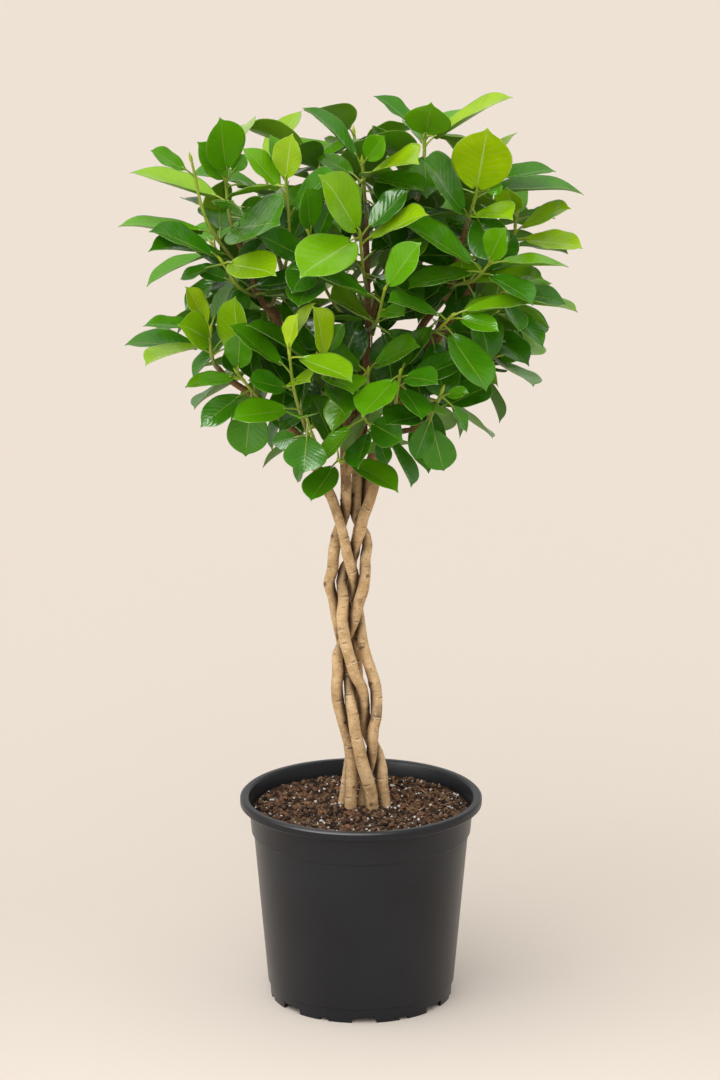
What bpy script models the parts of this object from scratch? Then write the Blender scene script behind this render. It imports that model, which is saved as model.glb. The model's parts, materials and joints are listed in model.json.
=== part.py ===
"""A potted ficus: five stems braided into one trunk, a round head of glossy leaves, and a nursery pot.

Metres, +Z up, the origin under the middle of the pot, the front of the plant towards -Y.
The tables of stems, limbs and shoots are in millimetres, and vec() turns them into metres.
"""

import math
import random

import bmesh
import bpy
import numpy as np
from mathutils import Matrix, Vector
from mathutils.bvhtree import BVHTree

MM = 0.001
GAP = 0.3 * MM  # between a piece and what carries it
SEED = 21

# The pot: a 21 cm nursery pot with a rolled lip, a band under it and a notched foot ring.
POT_STEPS = 28
POT_PROFILE = [  # radius and height in mm: up the inside, over the lip, down the outside, under the floor
    (0, 8), (77.8, 8), (91.2, 147), (93.2, 149.4), (95.2, 170.4), (97.6, 179.6), (99.2, 181),
    (103.4, 181), (105, 179.4), (105, 174.6), (103.6, 173.2), (97.2, 172.6), (95.2, 149.6), (93.2, 147.8),
    (81.4, 13.2), (79.8, 12.2), (79.2, 0), (76.4, 0), (76.2, 5.6), (13, 5.6), (11, 0), (0, 0),
]
NOTCHES = 7
NOTCH_WIDTH = 21 * MM
NOTCH_HEIGHT = 5.2 * MM
SLOT_WIDTH = 8 * MM
SLOT_HEIGHT = 2.6 * MM
DRAINS = 4
DRAIN_RADIUS = 6 * MM
DRAIN_CIRCLE = 48 * MM

# The potting soil, filled to 12 mm under the rim and a little mounded.
SOIL_PROFILE = [(0, 170.5), (34, 169.8), (66, 169), (94.4, 167.8), (92.8, 149.8), (90.8, 147.6), (77.2, 8.4),
                (0, 8.4)]
SOIL_RELIEF = 1.4 * MM
SOIL_TOP = 168 * MM

# The braid: foot radius and tip radius, then the points that each stem passes, on into the head.
STEMS = {
    "stem_front": (5.7, 2.4, [
        (9, -9, 134), (9.5, -8, 176), (2.6, -10, 211), (-4, -9, 236), (-8, -6, 263), (-10.5, 0, 283),
        (-14, 9, 308), (-21.5, 4, 344), (-23.5, 0, 365), (-23.7, 0, 381), (-23, 1, 400), (-19.7, 3, 414),
        (-14, -2, 436), (-13, -5, 456), (-13.5, -7, 480), (-14, -9, 520), (-24, -13, 558), (-47, -18, 588),
        (-69, -24, 605), (-86, -30, 630), (-94, -34, 657), (-103, -38, 676),
    ]),
    "stem_right": (5.5, 2.4, [
        (22, 2, 134), (20.5, 1, 175), (15, 4, 207), (11, 8, 221), (4.3, 6, 240), (3, 1, 256), (0, -3, 273),
        (-4, -8, 287), (-10, -10, 309), (-13, -10, 320), (-16, -9, 341), (-15.5, -5, 361), (-15, 1, 377),
        (-9, 6, 388), (-3, 2, 402), (0.6, -7, 424), (2.6, -7, 434), (6.5, -5, 443), (10.4, -4, 456),
        (19, -8, 488), (30, -16, 532), (41, -20, 571), (51, -24, 601), (66, -28, 621), (77, -30, 640),
        (82, -32, 668), (87, -34, 686),
    ]),
    "stem_middle": (5.3, 2.3, [
        (1, 8, 134), (2.6, 5, 173), (7, 2, 200), (9, -4, 218), (10.5, -4, 241), (12.5, -2, 254),
        (13, 0, 275), (10.5, 0, 286), (6.5, 0, 300), (2.6, 2, 313), (0, 4, 327), (-5, 8, 349),
        (-6.6, 2, 363), (-8.6, -4, 382), (-11.2, -8, 396), (-13.2, -10, 407), (-17.7, -10, 427),
        (-24.3, -7, 447), (-29, -6, 456), (-39, -10, 478), (-58, -22, 511), (-88, -34, 542),
        (-108, -42, 557), (-119, -48, 570),
    ]),
    "stem_left": (5.5, 2.4, [
        (-9, -6, 134), (-9, -5, 176), (-8, -1, 201), (-10.4, 3, 227), (-15.3, 0, 247), (-18, -2, 262),
        (-18.5, -2, 276), (-19.8, -2, 298), (-19.8, 0, 311), (-12, 2, 325), (-7, -3, 336), (-2.7, -5, 353),
        (0, -7, 367), (2.6, -3, 389), (2.6, 3, 406), (-4, 5, 430), (-3, 6, 454), (-4, 16, 484),
        (-10, 34, 516), (-24, 58, 554), (-48, 80, 592), (-66, 92, 625),
    ]),
    "stem_back": (5.3, 2.4, [
        (-18, 9, 134), (-14.3, 8, 175), (-9.5, 12, 209), (-3.5, 13, 235), (-2.6, 12, 272), (-4.3, 14, 307),
        (-7.8, 12, 335), (-9.5, 12, 361), (-7.7, 13, 388), (-2.6, 12, 414), (3.4, 10, 453), (12, 17, 484),
        (34, 26, 524), (60, 26, 571), (86, 18, 613), (98, 12, 635), (114, 8, 647),
    ]),
}
STEM_SPACING = 13.5 * MM
STEM_CLEARANCE = 0.45 * MM
HOLE_WALL = 1.4 * MM  # soil left between two stems
SETTLE_ROUNDS = 400

# Side limbs: the stem they are fused to, foot and tip radius, and the points they pass from its axis out.
LIMBS = {
    "limb_centre": ("stem_front", 3.6, 2.2, [(-13, -6, 468), (-4, -16, 486), (1, -21, 503), (4, -24, 541),
                                             (5, -27, 583), (6, -28, 621), (5, -28, 650), (4, -24, 690)]),
    "limb_top": ("stem_front", 2.6, 2.0, [(5, -27, 592), (16, -16, 632), (34, -8, 676), (46, -4, 704)]),
    "limb_back_left": ("stem_front", 2.8, 2.0, [(-20, -11, 546), (-46, 10, 578), (-88, 36, 616)]),
    "limb_low_right": ("stem_right", 3.0, 2.0, [(22, -10, 500), (30, -36, 512), (44, -66, 522), (52, -84, 532)]),
    "limb_low_left": ("stem_middle", 3.0, 2.0, [(-44, -14, 486), (-42, -44, 500), (-38, -78, 512)]),
    "limb_back": ("stem_left", 3.2, 2.0, [(-6, 24, 498), (2, 54, 540), (6, 78, 590), (4, 92, 640), (0, 92, 690)]),
    "limb_back_right": ("stem_back", 3.0, 2.0, [(22, 21, 502), (38, 48, 532), (62, 76, 570), (86, 92, 616)]),
}
LIMB_SPACING = 24 * MM

# The leafy shoots seen from the front: the limb, a point near their foot, their tip, and their leaves
# as (fraction along the shoot, leaf tip x, y, z, breadth as seen from the front; below 0 shows the underside).
FRONT_SHOOTS = {
    "shoot_centre_3": ("limb_centre", (5, -26, 600), (19, -125, 651), [
        (0.9, 47, -158, 697, 24), (0.8, -55, -145, 676, 11), (0.3, -25, -150, 650, 12),
        (0.65, 34, -168, 640, 14)]),
    "shoot_left_top_1": ("stem_front", (-94, -34, 655), (-139, -58, 746), [
        (0.86, -171, -70, 757, 13), (0.38, -200, -62, 695, 8), (0.6, -148, -20, 709, 8),
        (0.12, -174, -88, 679, 11)]),
    "shoot_left_2": ("stem_front", (-79, -28, 620), (-61, -85, 733), [
        (0.95, -56, -104, 775, 24), (0.86, -96, -80, 761, 17), (0.7, -22, -100, 746, 13),
        (0.9, -73, -50, 767, 15), (0.45, -44, -84, 712, 15), (0.08, -110, -10, 650, 18)]),
    "shoot_left_top_2": ("stem_front", (-103, -38, 676), (-111, -50, 736), [
        (0.9, -113, -92, 785, 33), (0.55, -192, -20, 733, 14), (0.2, -50, -122, 737, 25),
        (0.25, -104, -125, 722, 32), (0.75, -132, -80, 765, 22), (0.85, -95, -64, 752, 14),
        (0.5, -76, -60, 706, 20)]),
    "shoot_left_1": ("stem_front", (-86, -30, 630), (-114, -80, 666), [
        (0.85, -172, -95, 696, 15), (0.5, -136, -98, 664, 14), (0.95, -150, -60, 648, 10),
        (0.12, -38, -100, 641, 9), (0.7, -76, -30, 678, 16)]),
    "shoot_centre_left": ("limb_centre", (5, -27, 596), (-43, -92, 692), [
        (0.97, -43, -128, 735, 20), (0.75, -82, -105, 693, 22), (0.65, -6, -128, 671, 8),
        (0.85, -22, -88, 718, 16)]),
    "shoot_centre_2": ("limb_centre", (4, -24, 690), (1, -40, 741), [
        (0.85, -47, -40, 789, 11), (0.95, 18, -74, 768, 20), (0.75, 52, -84, 727, 14),
        (0.45, 46, -86, 751, 7), (0.6, -38, -14, 743, 14), (0.15, -30, 5, 655, 20)]),
    "shoot_centre_1": ("limb_centre", (5, -28, 636), (-1, -95, 691), [
        (0.85, -32, -115, 744, 30), (0.3, -36, -100, 705, 8), (0.2, -20, -100, 651, 16),
        (0.85, 53, -130, 716, 13), (0.95, 38, -92, 728, 19)]),
    "shoot_top": ("limb_top", (46, -4, 704), (53, -10, 760), [
        (0.9, 11, -6, 793, 12), (0.95, 57, -60, 792, 39), (0.8, 124, -30, 797, 9),
        (0.9, 86, 12, 780, 11), (0.55, 5, -58, 768, -24), (0.7, 38, 40, 764, 15)]),
    "shoot_right_top": ("stem_right", (87, -34, 686), (99, -50, 737), [
        (0.5, 102, -92, 776, 50), (0.12, 52, -92, 753, 36), (0.75, 161, -40, 736, 12),
        (0.5, 186, -30, 716, 12), (0.12, 123, -98, 706, 12), (0.6, 116, -74, 727, 12),
        (0.85, 128, -8, 763, 9)]),
    "shoot_right_1": ("stem_back", (114, 8, 647), (129, -22, 697), [
        (0.6, 172, -46, 706, 13), (0.85, 160, -2, 693, 14), (0.5, 184, -38, 671, 16),
        (0.93, 122, -44, 740, 26), (0.75, 128, 24, 730, 14)]),
    "shoot_right_2": ("stem_right", (77, -30, 640), (106, -90, 667), [
        (0.3, 81, -112, 673, 30), (0.75, 36, -122, 706, 18), (0.15, 149, -100, 658, 12),
        (0.7, 141, -104, 636, 15), (0.95, 116, -124, 702, 22), (0.1, 22, -10, 625, 18)]),
    "shoot_right_3": ("stem_back", (86, 18, 613), (119, -60, 637), [
        (0.95, 171, -54, 626, 15), (0.7, 152, -72, 593, 14), (0.5, 158, -40, 603, -10),
        (0.8, 160, -20, 638, 13), (0.9, 130, -98, 612, 13)]),
    "shoot_centre_4": ("stem_front", (-20, -11, 545), (-35, -120, 596), [
        (0.85, -37, -140, 641, 17), (0.6, -6, -150, 573, 16), (0.5, -12, -140, 553, 23),
        (0.7, -92, -118, 624, 10), (0.95, -14, -132, 626, 14)]),
    "shoot_centre_5": ("limb_centre", (4, -25, 548), (6, -72, 573), [
        (0.95, 47, -114, 604, 17), (0.9, -32, -112, 600, 17), (0.5, 27, -115, 558, 17)]),
    "shoot_left_3": ("limb_low_left", (-40, -60, 505), (-58, -135, 600), [
        (0.95, -52, -150, 637, 12), (0.9, -38, -140, 645, 9), (0.75, -106, -116, 622, 16),
        (0.55, -91, -128, 578, 18), (0.35, -106, -110, 542, 21), (0.45, -42, -158, 584, 11)]),
    "shoot_left_4": ("stem_middle", (-119, -48, 570), (-124, -70, 606), [
        (0.95, -180, -76, 613, 11), (0.4, -197, -58, 594, 16), (0.5, -178, -96, 585, 9),
        (0.88, -143, -86, 647, 16), (0.7, -147, -116, 621, 26), (0.63, -140, -10, 626, 12)]),
    "shoot_left_5": ("stem_middle", (-88, -34, 542), (-102, -84, 574), [
        (0.8, -146, -86, 563, 11), (0.55, -133, -92, 530, 22), (0.95, -98, -122, 615, 23),
        (0.5, -96, -76, 500, 35), (0.85, -132, -116, 572, 12)]),
    "shoot_low_left": ("limb_low_left", (-38, -78, 512), (-44, -112, 540), [
        (0.95, -47, -126, 499, 36), (0.6, -74, -100, 518, 16), (0.5, -54, -92, 482, 11)]),
    "shoot_low_centre": ("stem_front", (-13.5, -7, 484), (-19, -50, 492), [
        (0.95, -42, -98, 470, 24), (0.9, 32, -86, 474, 19)]),
    "shoot_low_front": ("stem_right", (26, -13, 516), (2, -100, 540), [
        (0.85, 33, -140, 530, 27), (0.6, -4, -128, 504, 16), (0.5, 22, -78, 494, 14)]),
    "shoot_low_right_1": ("stem_right", (30, -16, 532), (32, -112, 580), [
        (0.8, 50, -150, 551, 18), (0.9, 62, -150, 580, 17), (0.95, 58, -120, 622, 16)]),
    "shoot_right_4": ("stem_right", (51, -24, 601), (74, -115, 628), [
        (0.75, 103, -140, 572, 27), (0.9, 112, -134, 620, 15), (0.85, 22, -146, 648, 11),
        (0.5, 115, -95, 566, -13)]),
    "shoot_low_right_2": ("limb_low_right", (52, -84, 532), (66, -104, 562), [
        (0.9, 88, -104, 528, 10), (0.3, 69, -80, 488, 28), (0.6, 44, -104, 504, 20),
        (0.9, 59, -134, 551, -20), (0.8, 88, -122, 566, 10)]),
}

# The shoots of the sides, back and underside: limb, point near the foot, tip, and how many leaves.
ROUND_SHOOTS = {
    "shoot_back_1": ("limb_back", (0, 92, 690), (-6, 96, 744), 7),
    "shoot_back_2": ("limb_back", (4, 90, 640), (46, 122, 684), 6),
    "shoot_back_3": ("limb_back", (3, 92, 655), (-38, 122, 700), 7),
    "shoot_back_4": ("limb_back", (6, 80, 596), (-6, 138, 620), 6),
    "shoot_back_5": ("limb_back", (4, 66, 562), (22, 122, 560), 5),
    "shoot_back_6": ("limb_back", (-2, 40, 520), (-12, 92, 520), 5),
    "shoot_back_left_1": ("stem_left", (-66, 92, 625), (-82, 108, 670), 6),
    "shoot_back_left_2": ("stem_left", (-44, 76, 586), (-72, 126, 600), 6),
    "shoot_back_left_3": ("stem_left", (-24, 58, 554), (-76, 84, 548), 5),
    "shoot_back_left_4": ("limb_back_left", (-88, 36, 616), (-126, 48, 656), 6),
    "shoot_back_left_5": ("limb_back_left", (-70, 24, 600), (-124, 42, 592), 6),
    "shoot_back_left_6": ("limb_back_left", (-52, 14, 583), (-84, 44, 722), 6),
    "shoot_back_left_7": ("limb_back_left", (-38, 5, 570), (-104, 16, 552), 5),
    "shoot_back_right_1": ("limb_back_right", (86, 92, 616), (108, 100, 660), 6),
    "shoot_back_right_2": ("limb_back_right", (72, 84, 592), (84, 128, 610), 6),
    "shoot_back_right_3": ("limb_back_right", (52, 64, 553), (86, 92, 548), 5),
    "shoot_back_right_4": ("stem_back", (70, 24, 586), (128, 56, 606), 6),
    "shoot_back_right_5": ("stem_back", (56, 26, 562), (118, 22, 566), 6),
    "shoot_back_right_6": ("stem_back", (100, 11, 638), (104, 56, 706), 6),
    "shoot_back_right_7": ("stem_back", (40, 26, 536), (82, 34, 520), 5),
    "shoot_top_back": ("limb_top", (30, -10, 668), (50, 56, 724), 6),
    "shoot_top_left": ("limb_centre", (5, -25, 675), (-40, 22, 742), 7),
    "shoot_under": ("stem_left", (-6, 24, 500), (-52, 36, 508), 5),
}
TWIG_FOOT_RADIUS = 1.9 * MM
TWIG_TIP_RADIUS = 1.3 * MM
TWIG_STUB = 5 * MM
BUD_LENGTH = 9 * MM
TURN = math.radians(137.5)  # from one leaf to the next up a shoot
FILL_LEAVES = 2  # by rule, on each front shoot behind the leaves in its table

# Leaves: thick glossy plates on short stalks, broadest past their middle.
LEAF_THICKNESS = 0.8 * MM
PETIOLE = 12 * MM
STALK_SIZE = 1.5 * MM
LEAF_ARCH = (0.055, 0.12)  # the rib's rise against the leaf's length
LEAF_FOLD = 0.16
BROAD_LOW, BROAD_HIGH = 0.33, 0.76  # where along the blade its two broad stations lie
LOW_SHARE, HIGH_SHARE = 0.94, 0.94  # their breadth against the widest
LEAF_LENGTHS = (64 * MM, 86 * MM)
LEAF_SLIMNESS = (0.54, 0.64)
SEEN_FROM = Vector((0, -3290 * MM, 1270 * MM))  # the place in front from which the leaves' breadths are given
CROWN_CENTRE = Vector((-5 * MM, 0, 622 * MM))
CROWN_RADII = Vector((193 * MM, 190 * MM, 172 * MM))
CROWN_FLOOR = 462 * MM
CROWN_SHOULDER = 590 * MM  # the height below which the head draws in
CROWN_FOOT = 0.55  # the head's breadth at its lowest against its widest
ROOM = 0.9 * MM  # kept clear round a leaf and a twig

COLOURS = {  # base colour, roughness
    "pot": ((0.055, 0.053, 0.056), 0.55),
    "soil": ((0.045, 0.028, 0.018), 0.95),
    "bark": ((0.50, 0.36, 0.22), 0.7),
    "leaf": ((0.07, 0.20, 0.035), 0.3),
}


def vec(point):
    return Vector(point) * MM


def smooth_path(points, spacing):
    """Points about `spacing` apart on a smooth curve through the given ones."""
    ends = [points[0] * 2 - points[1]] + list(points) + [points[-1] * 2 - points[-2]]
    dense = []
    for before, start, end, after in zip(ends, ends[1:], ends[2:], ends[3:]):
        for step in range(8):
            t = step / 8
            dense.append(0.5 * (2 * start + (end - before) * t
                                + (2 * before - 5 * start + 4 * end - after) * t ** 2
                                + (3 * start - before - 3 * end + after) * t ** 3))
    dense.append(points[-1].copy())
    lengths = [0.0]
    for start, end in zip(dense, dense[1:]):
        lengths.append(lengths[-1] + (end - start).length)
    count = max(2, round(lengths[-1] / spacing))
    path, index = [], 0
    for step in range(count + 1):
        target = lengths[-1] * step / count
        while index < len(dense) - 2 and lengths[index + 1] < target:
            index += 1
        span = lengths[index + 1] - lengths[index]
        path.append(dense[index].lerp(dense[index + 1], (target - lengths[index]) / span))
    return path


def taper(start, end, count):
    return [start + (end - start) * step / (count - 1) for step in range(count)]


def settle_stems(paths, radii):
    """Push the stems apart wherever two of them would share room, until every pair is clear."""
    split = 4
    paths = [np.array(path, dtype=float) for path in paths]
    weights = []
    for path in paths:
        rows = (len(path) - 1) * split + 1
        weight = np.zeros((rows, len(path)))
        for row in range(rows):
            low = min(row // split, len(path) - 2)
            part = row / split - low
            weight[row, low], weight[row, low + 1] = 1 - part, part
        weights.append(weight)
    rings = [weight @ np.array(radius) for weight, radius in zip(weights, radii)]
    for _ in range(SETTLE_ROUNDS):
        fine = [weight @ path for weight, path in zip(weights, paths)]
        moves = [np.zeros_like(points) for points in fine]
        for one in range(len(paths)):
            for two in range(len(paths)):
                if one == two:
                    continue
                apart = fine[one][:, None] - fine[two][None]
                distance = np.maximum(np.linalg.norm(apart, axis=2), 1e-6)
                buried = fine[one][:, 2] < SOIL_PROFILE[0][1] * MM
                clear = np.where(buried, 2 * GAP + HOLE_WALL, STEM_CLEARANCE)
                short = rings[one][:, None] + rings[two][None] + clear[:, None] - distance
                worst = short.argmax(axis=1)
                rows = np.arange(len(worst))
                push = np.clip(short[rows, worst], 0, None)
                away = apart[rows, worst] / distance[rows, worst][:, None]
                away[:, 2] *= 0.2
                moves[one] += 0.5 * push[:, None] * away
        for path, weight, move in zip(paths, weights, moves):
            path += 0.6 * (weight.T @ move) / weight.sum(axis=0)[:, None]
    return [[Vector(point) for point in path] for path in paths]


def lay_out_wood():
    """Every stem and limb as a path with a radius at each point."""
    names = list(STEMS)
    paths = [smooth_path([vec(point) for point in STEMS[name][2]], STEM_SPACING) for name in names]
    radii = []
    for name, path in zip(names, paths):
        foot, tip, _ = STEMS[name]
        fork = next(index for index, point in enumerate(path) if point.z > 450 * MM)
        slim = foot * 0.86
        radii.append([r * MM for r in taper(foot, slim, fork) + taper(slim, tip, len(path) - fork)])
    paths = settle_stems(paths, radii)
    wood = {name: (path, radius) for name, path, radius in zip(names, paths, radii)}
    for name, (_, foot, tip, points) in LIMBS.items():
        path = smooth_path([vec(point) for point in points], LIMB_SPACING)
        wood[name] = (path, taper(foot * MM, tip * MM, len(path)))
    return wood


def nearest(path, radii, point):
    """The closest place on a path: its position, the path's direction there, the radius, and if it is the end."""
    best = None
    for index in range(len(path) - 1):
        span = path[index + 1] - path[index]
        part = min(max((point - path[index]).dot(span) / span.length_squared, 0), 1)
        spot = path[index] + span * part
        if best is None or (spot - point).length < best[0]:
            radius = radii[index] + (radii[index + 1] - radii[index]) * part
            last = index == len(path) - 2 and part == 1
            best = ((spot - point).length, spot, span.normalized(), radius, last)
    return best[1:]


def lay_out_twig(wood, limb, foot, tip):
    """A shoot's own stem: square off its limb's side, or on from its end, then in a bow to its tip and bud."""
    path, radii = wood[limb]
    spot, along, radius, at_end = nearest(path, radii, vec(foot))
    tip = vec(tip)
    if at_end:
        out, start = along, spot + along * GAP
    else:
        out = (tip - spot) - (tip - spot).project(along)
        out.normalize()
        start = spot + out * (radius + GAP)
    stub = start + out * TWIG_STUB
    reach = (tip - stub).length
    bow = stub.lerp(tip, 0.5) + out * reach * 0.08 - Vector((0, 0, reach * 0.05))
    rise = (tip - bow).normalized()
    points = [start] + smooth_path([stub, bow, tip], max(reach / 2, 12 * MM))
    sizes = taper(TWIG_FOOT_RADIUS, TWIG_TIP_RADIUS, len(points))
    points.append(tip + rise * BUD_LENGTH)
    sizes.append(0.25 * MM)
    return points, sizes


def along_path(path, fraction):
    """A point at a fraction of a path's length, and the direction there."""
    lengths = [(end - start).length for start, end in zip(path, path[1:])]
    target = fraction * sum(lengths)
    for start, end, length in zip(path, path[1:], lengths):
        if target <= length:
            return start.lerp(end, target / length), (end - start).normalized()
        target -= length
    return path[-1].copy(), (path[-1] - path[-2]).normalized()


def leaf_normal(base, tip, roll, seen=None):
    """The upper side of a leaf: turned to the light above, or so that a share of its breadth is seen in front.

    A share below 0 shows the underside. roll turns the leaf about its rib.
    """
    axis = (tip - base).normalized()
    if seen is None:
        outward = (base.lerp(tip, 0.6) - CROWN_CENTRE).normalized()
        light = Vector((0, 0, 1)) + outward * 0.3
        normal = (light - light.project(axis)).normalized()
    else:
        sight = (SEEN_FROM - tip).normalized()
        level = axis.cross(sight).normalized()
        face = level.cross(axis)
        tilt = math.acos(min(abs(seen), 1))
        level *= math.copysign(math.sin(tilt), level.z)
        normal = face * math.copysign(math.cos(tilt), seen) + level
    return Matrix.Rotation(math.radians(roll), 3, axis) @ normal


# Corners of a leaf: the stalk's root 0-2 and end 3-5, both three-sided, then the low station with its upper
# face 6-8 and lower face 9-11, the high station with 12-13 and 14-15, and the tip 16.
STALK_FACES = [(0, 2, 1), (0, 1, 4), (0, 4, 3), (0, 3, 5), (0, 5, 2), (1, 2, 5), (1, 5, 4)]
BLADE_FACES = [
    (3, 4, 7), (3, 7, 6), (4, 8, 7), (5, 9, 10), (5, 10, 11), (3, 6, 9), (3, 9, 5), (4, 11, 8), (4, 5, 11),
    (6, 7, 12), (7, 13, 12), (7, 8, 13), (9, 14, 10), (10, 14, 15), (10, 15, 11),
    (6, 12, 14), (6, 14, 9), (8, 15, 13), (8, 11, 15),
    (12, 13, 16), (14, 16, 15), (12, 16, 14), (13, 15, 16),
]


def leaf_corners(leaf, room=0.0):
    """The corner points of one leaf, from root to tip, thickened and widened by `room`."""
    base = leaf["base"]
    length = (leaf["tip"] - base).length
    axis = (leaf["tip"] - base) / length
    normal = leaf["normal"]
    side = axis.cross(normal)
    stalk = PETIOLE / length
    half = leaf["width"] / 2 + room
    thick = LEAF_THICKNESS / 2 + room

    def station(t, across, lift, depth):
        """A point at `t` along the arched rib, off to the side, and above or below the leaf's middle."""
        up = (normal - axis * (leaf["arch"] * 4 * (1 - 2 * t))).normalized()
        rise = leaf["arch"] * length * 4 * t * (1 - t)
        return base + axis * (length * t) + normal * rise + side * across + up * (lift + depth)

    corners = []
    for t in (0.0, stalk):
        corners += [station(t, -STALK_SIZE / 2 - room, 0, STALK_SIZE / 3 + room),
                    station(t, STALK_SIZE / 2 + room, 0, STALK_SIZE / 3 + room),
                    station(t, 0, 0, -STALK_SIZE / 2 - room)]
    low = stalk + (1 - stalk) * BROAD_LOW
    for depth in (thick, -thick):
        corners += [station(low, -half * LOW_SHARE, 0, depth), station(low, 0, -LEAF_FOLD * half, depth),
                    station(low, half * LOW_SHARE, 0, depth)]
    high = stalk + (1 - stalk) * BROAD_HIGH
    for depth in (thick, -thick):
        corners += [station(high, -half * HIGH_SHARE, 0, depth), station(high, half * HIGH_SHARE, 0, depth)]
    return corners + [station(1 + room / length, 0, 0, 0)]


def tube_mesh(path, radii, sides=6):
    """Corner points and triangles of a plain tube, used to keep leaves clear of wood."""
    verts, faces = [], []
    for index, (point, radius) in enumerate(zip(path, radii)):
        ahead = path[min(index + 1, len(path) - 1)] - path[max(index - 1, 0)]
        across = ahead.orthogonal().normalized() if index == 0 else (across - across.project(ahead)).normalized()
        up = ahead.normalized().cross(across)
        for side in range(sides):
            angle = math.tau * side / sides
            verts.append(point + (across * math.cos(angle) + up * math.sin(angle)) * radius)
    for ring in range(len(path) - 1):
        for side in range(sides):
            a, b = ring * sides + side, ring * sides + (side + 1) % sides
            faces += [(a, b, b + sides), (a, b + sides, a + sides)]
    return verts, faces


class Room:
    """Remembers the space that is taken, and says if a new solid would meet it."""

    def __init__(self):
        self.taken = []

    def solid(self, verts, faces):
        low = Vector([min(v[k] for v in verts) for k in range(3)])
        high = Vector([max(v[k] for v in verts) for k in range(3)])
        return low, high, BVHTree.FromPolygons(verts, faces)

    def free(self, verts, faces, ignore=()):
        low, high, tree = self.solid(verts, faces)
        for name, (other_low, other_high, other) in self.taken:
            if name in ignore or any(low[k] > other_high[k] or high[k] < other_low[k] for k in range(3)):
                continue
            if tree.overlap(other):
                return False
        return True

    def take(self, name, verts, faces):
        self.taken.append((name, self.solid(verts, faces)))


def inside_crown(point):
    offset = point - CROWN_CENTRE
    across, deep, tall = (offset[k] / CROWN_RADII[k] for k in range(3))
    share = (point.z - CROWN_FLOOR) / (CROWN_SHOULDER - CROWN_FLOOR)
    breadth = CROWN_FOOT + (1 - CROWN_FOOT) * min(share, 1)
    return share > 0 and math.hypot(across, deep) < breadth and math.hypot(across, deep, tall) < 1


# Ways to nudge a leaf that would meet another: swing, lift and roll in degrees, then its length.
NUDGES = [(0, 0, 0, 1.0), (0, 0, 22, 1.0), (0, 0, -22, 1.0), (9, 0, 0, 1.0), (-9, 0, 0, 1.0), (0, 9, 0, 1.0),
          (0, -9, 0, 1.0), (14, 8, 15, 0.95), (-14, 8, -15, 0.95), (14, -8, -15, 0.95), (-14, -8, 15, 0.95),
          (0, 16, 0, 0.92), (0, -16, 0, 0.92), (22, 0, 20, 0.9), (-22, 0, -20, 0.9), (0, 24, 30, 0.88),
          (0, -24, -30, 0.88), (30, 12, 0, 0.86), (-30, 12, 0, 0.86), (30, -12, 0, 0.86), (-30, -12, 0, 0.86),
          (0, 0, 45, 0.85), (0, 0, -45, 0.85), (40, 0, 40, 0.8), (-40, 0, -40, 0.8), (0, 35, 0, 0.8),
          (0, -35, 0, 0.8), (50, 20, 0, 0.75), (-50, 20, 0, 0.75), (60, -20, 30, 0.72), (-60, -20, -30, 0.72)]


# Other places for a leaf of the table: along its shoot, and nearer on its line of sight.
SLIDES = (0, 0.1, -0.1, 0.2, -0.2)
SHIFTS = tuple(shift * MM for shift in (0, 7, -7, 14, -14, 22, -22, 30, -30))


def nudged(leaf, twig_direction, nudge):
    """A copy of a leaf, swung about its shoot, lifted, rolled and shortened."""
    swing, lift, roll, scale = nudge
    axis = leaf["tip"] - leaf["base"]
    axis = Matrix.Rotation(math.radians(swing), 3, twig_direction) @ axis
    level = axis.cross(Vector((0, 0, 1)))
    if level.length > 1e-6:
        axis = Matrix.Rotation(math.radians(lift), 3, level.normalized()) @ axis
    changed = dict(leaf)
    changed["tip"] = leaf["base"] + axis * scale
    changed["width"] = leaf["width"] * (1 + scale) / 2
    changed["normal"] = leaf_normal(leaf["base"], changed["tip"], leaf["roll"] + roll, leaf["seen"])
    return changed


def place_leaf(room, name, trials, must_fit=False):
    """The first trial that keeps the leaf clear of all that stands already, or None.

    Stalks may meet within a shoot, where they are fused.
    """
    stalk, blade = name + " stalk", name + " blade"
    for trial in trials:
        if must_fit and not inside_crown(trial["tip"]):
            continue
        corners = leaf_corners(trial, ROOM)
        if room.free(corners, BLADE_FACES, (stalk,)) and room.free(corners, STALK_FACES, (name, stalk, blade)):
            room.take(stalk, corners, STALK_FACES)
            room.take(blade, corners, BLADE_FACES)
            return trial
    return None


def rule_leaf(draw, twig, number, count):
    """Leaf `number` of a shoot's spiral: lower ones stand out more, and all droop a little."""
    fraction = 0.34 + 0.62 * number / max(count - 1, 1)
    base, ahead = along_path(twig[:-1], fraction)
    across = ahead.orthogonal().normalized()
    spread = math.radians(78 - 34 * number / count + draw.uniform(-8, 8))
    out = Matrix.Rotation(draw.phase + TURN * number, 3, ahead) @ across
    axis = (ahead * math.cos(spread) + out * math.sin(spread)).normalized()
    axis = (axis - Vector((0, 0, 0.22))).normalized()
    length = draw.uniform(*LEAF_LENGTHS)
    tip = base + axis * length
    roll = draw.uniform(-25, 25)
    return {"base": base, "tip": tip, "roll": roll, "seen": None, "normal": leaf_normal(base, tip, roll),
            "width": (length - PETIOLE) * draw.uniform(*LEAF_SLIMNESS), "arch": draw.uniform(*LEAF_ARCH)}


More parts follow.
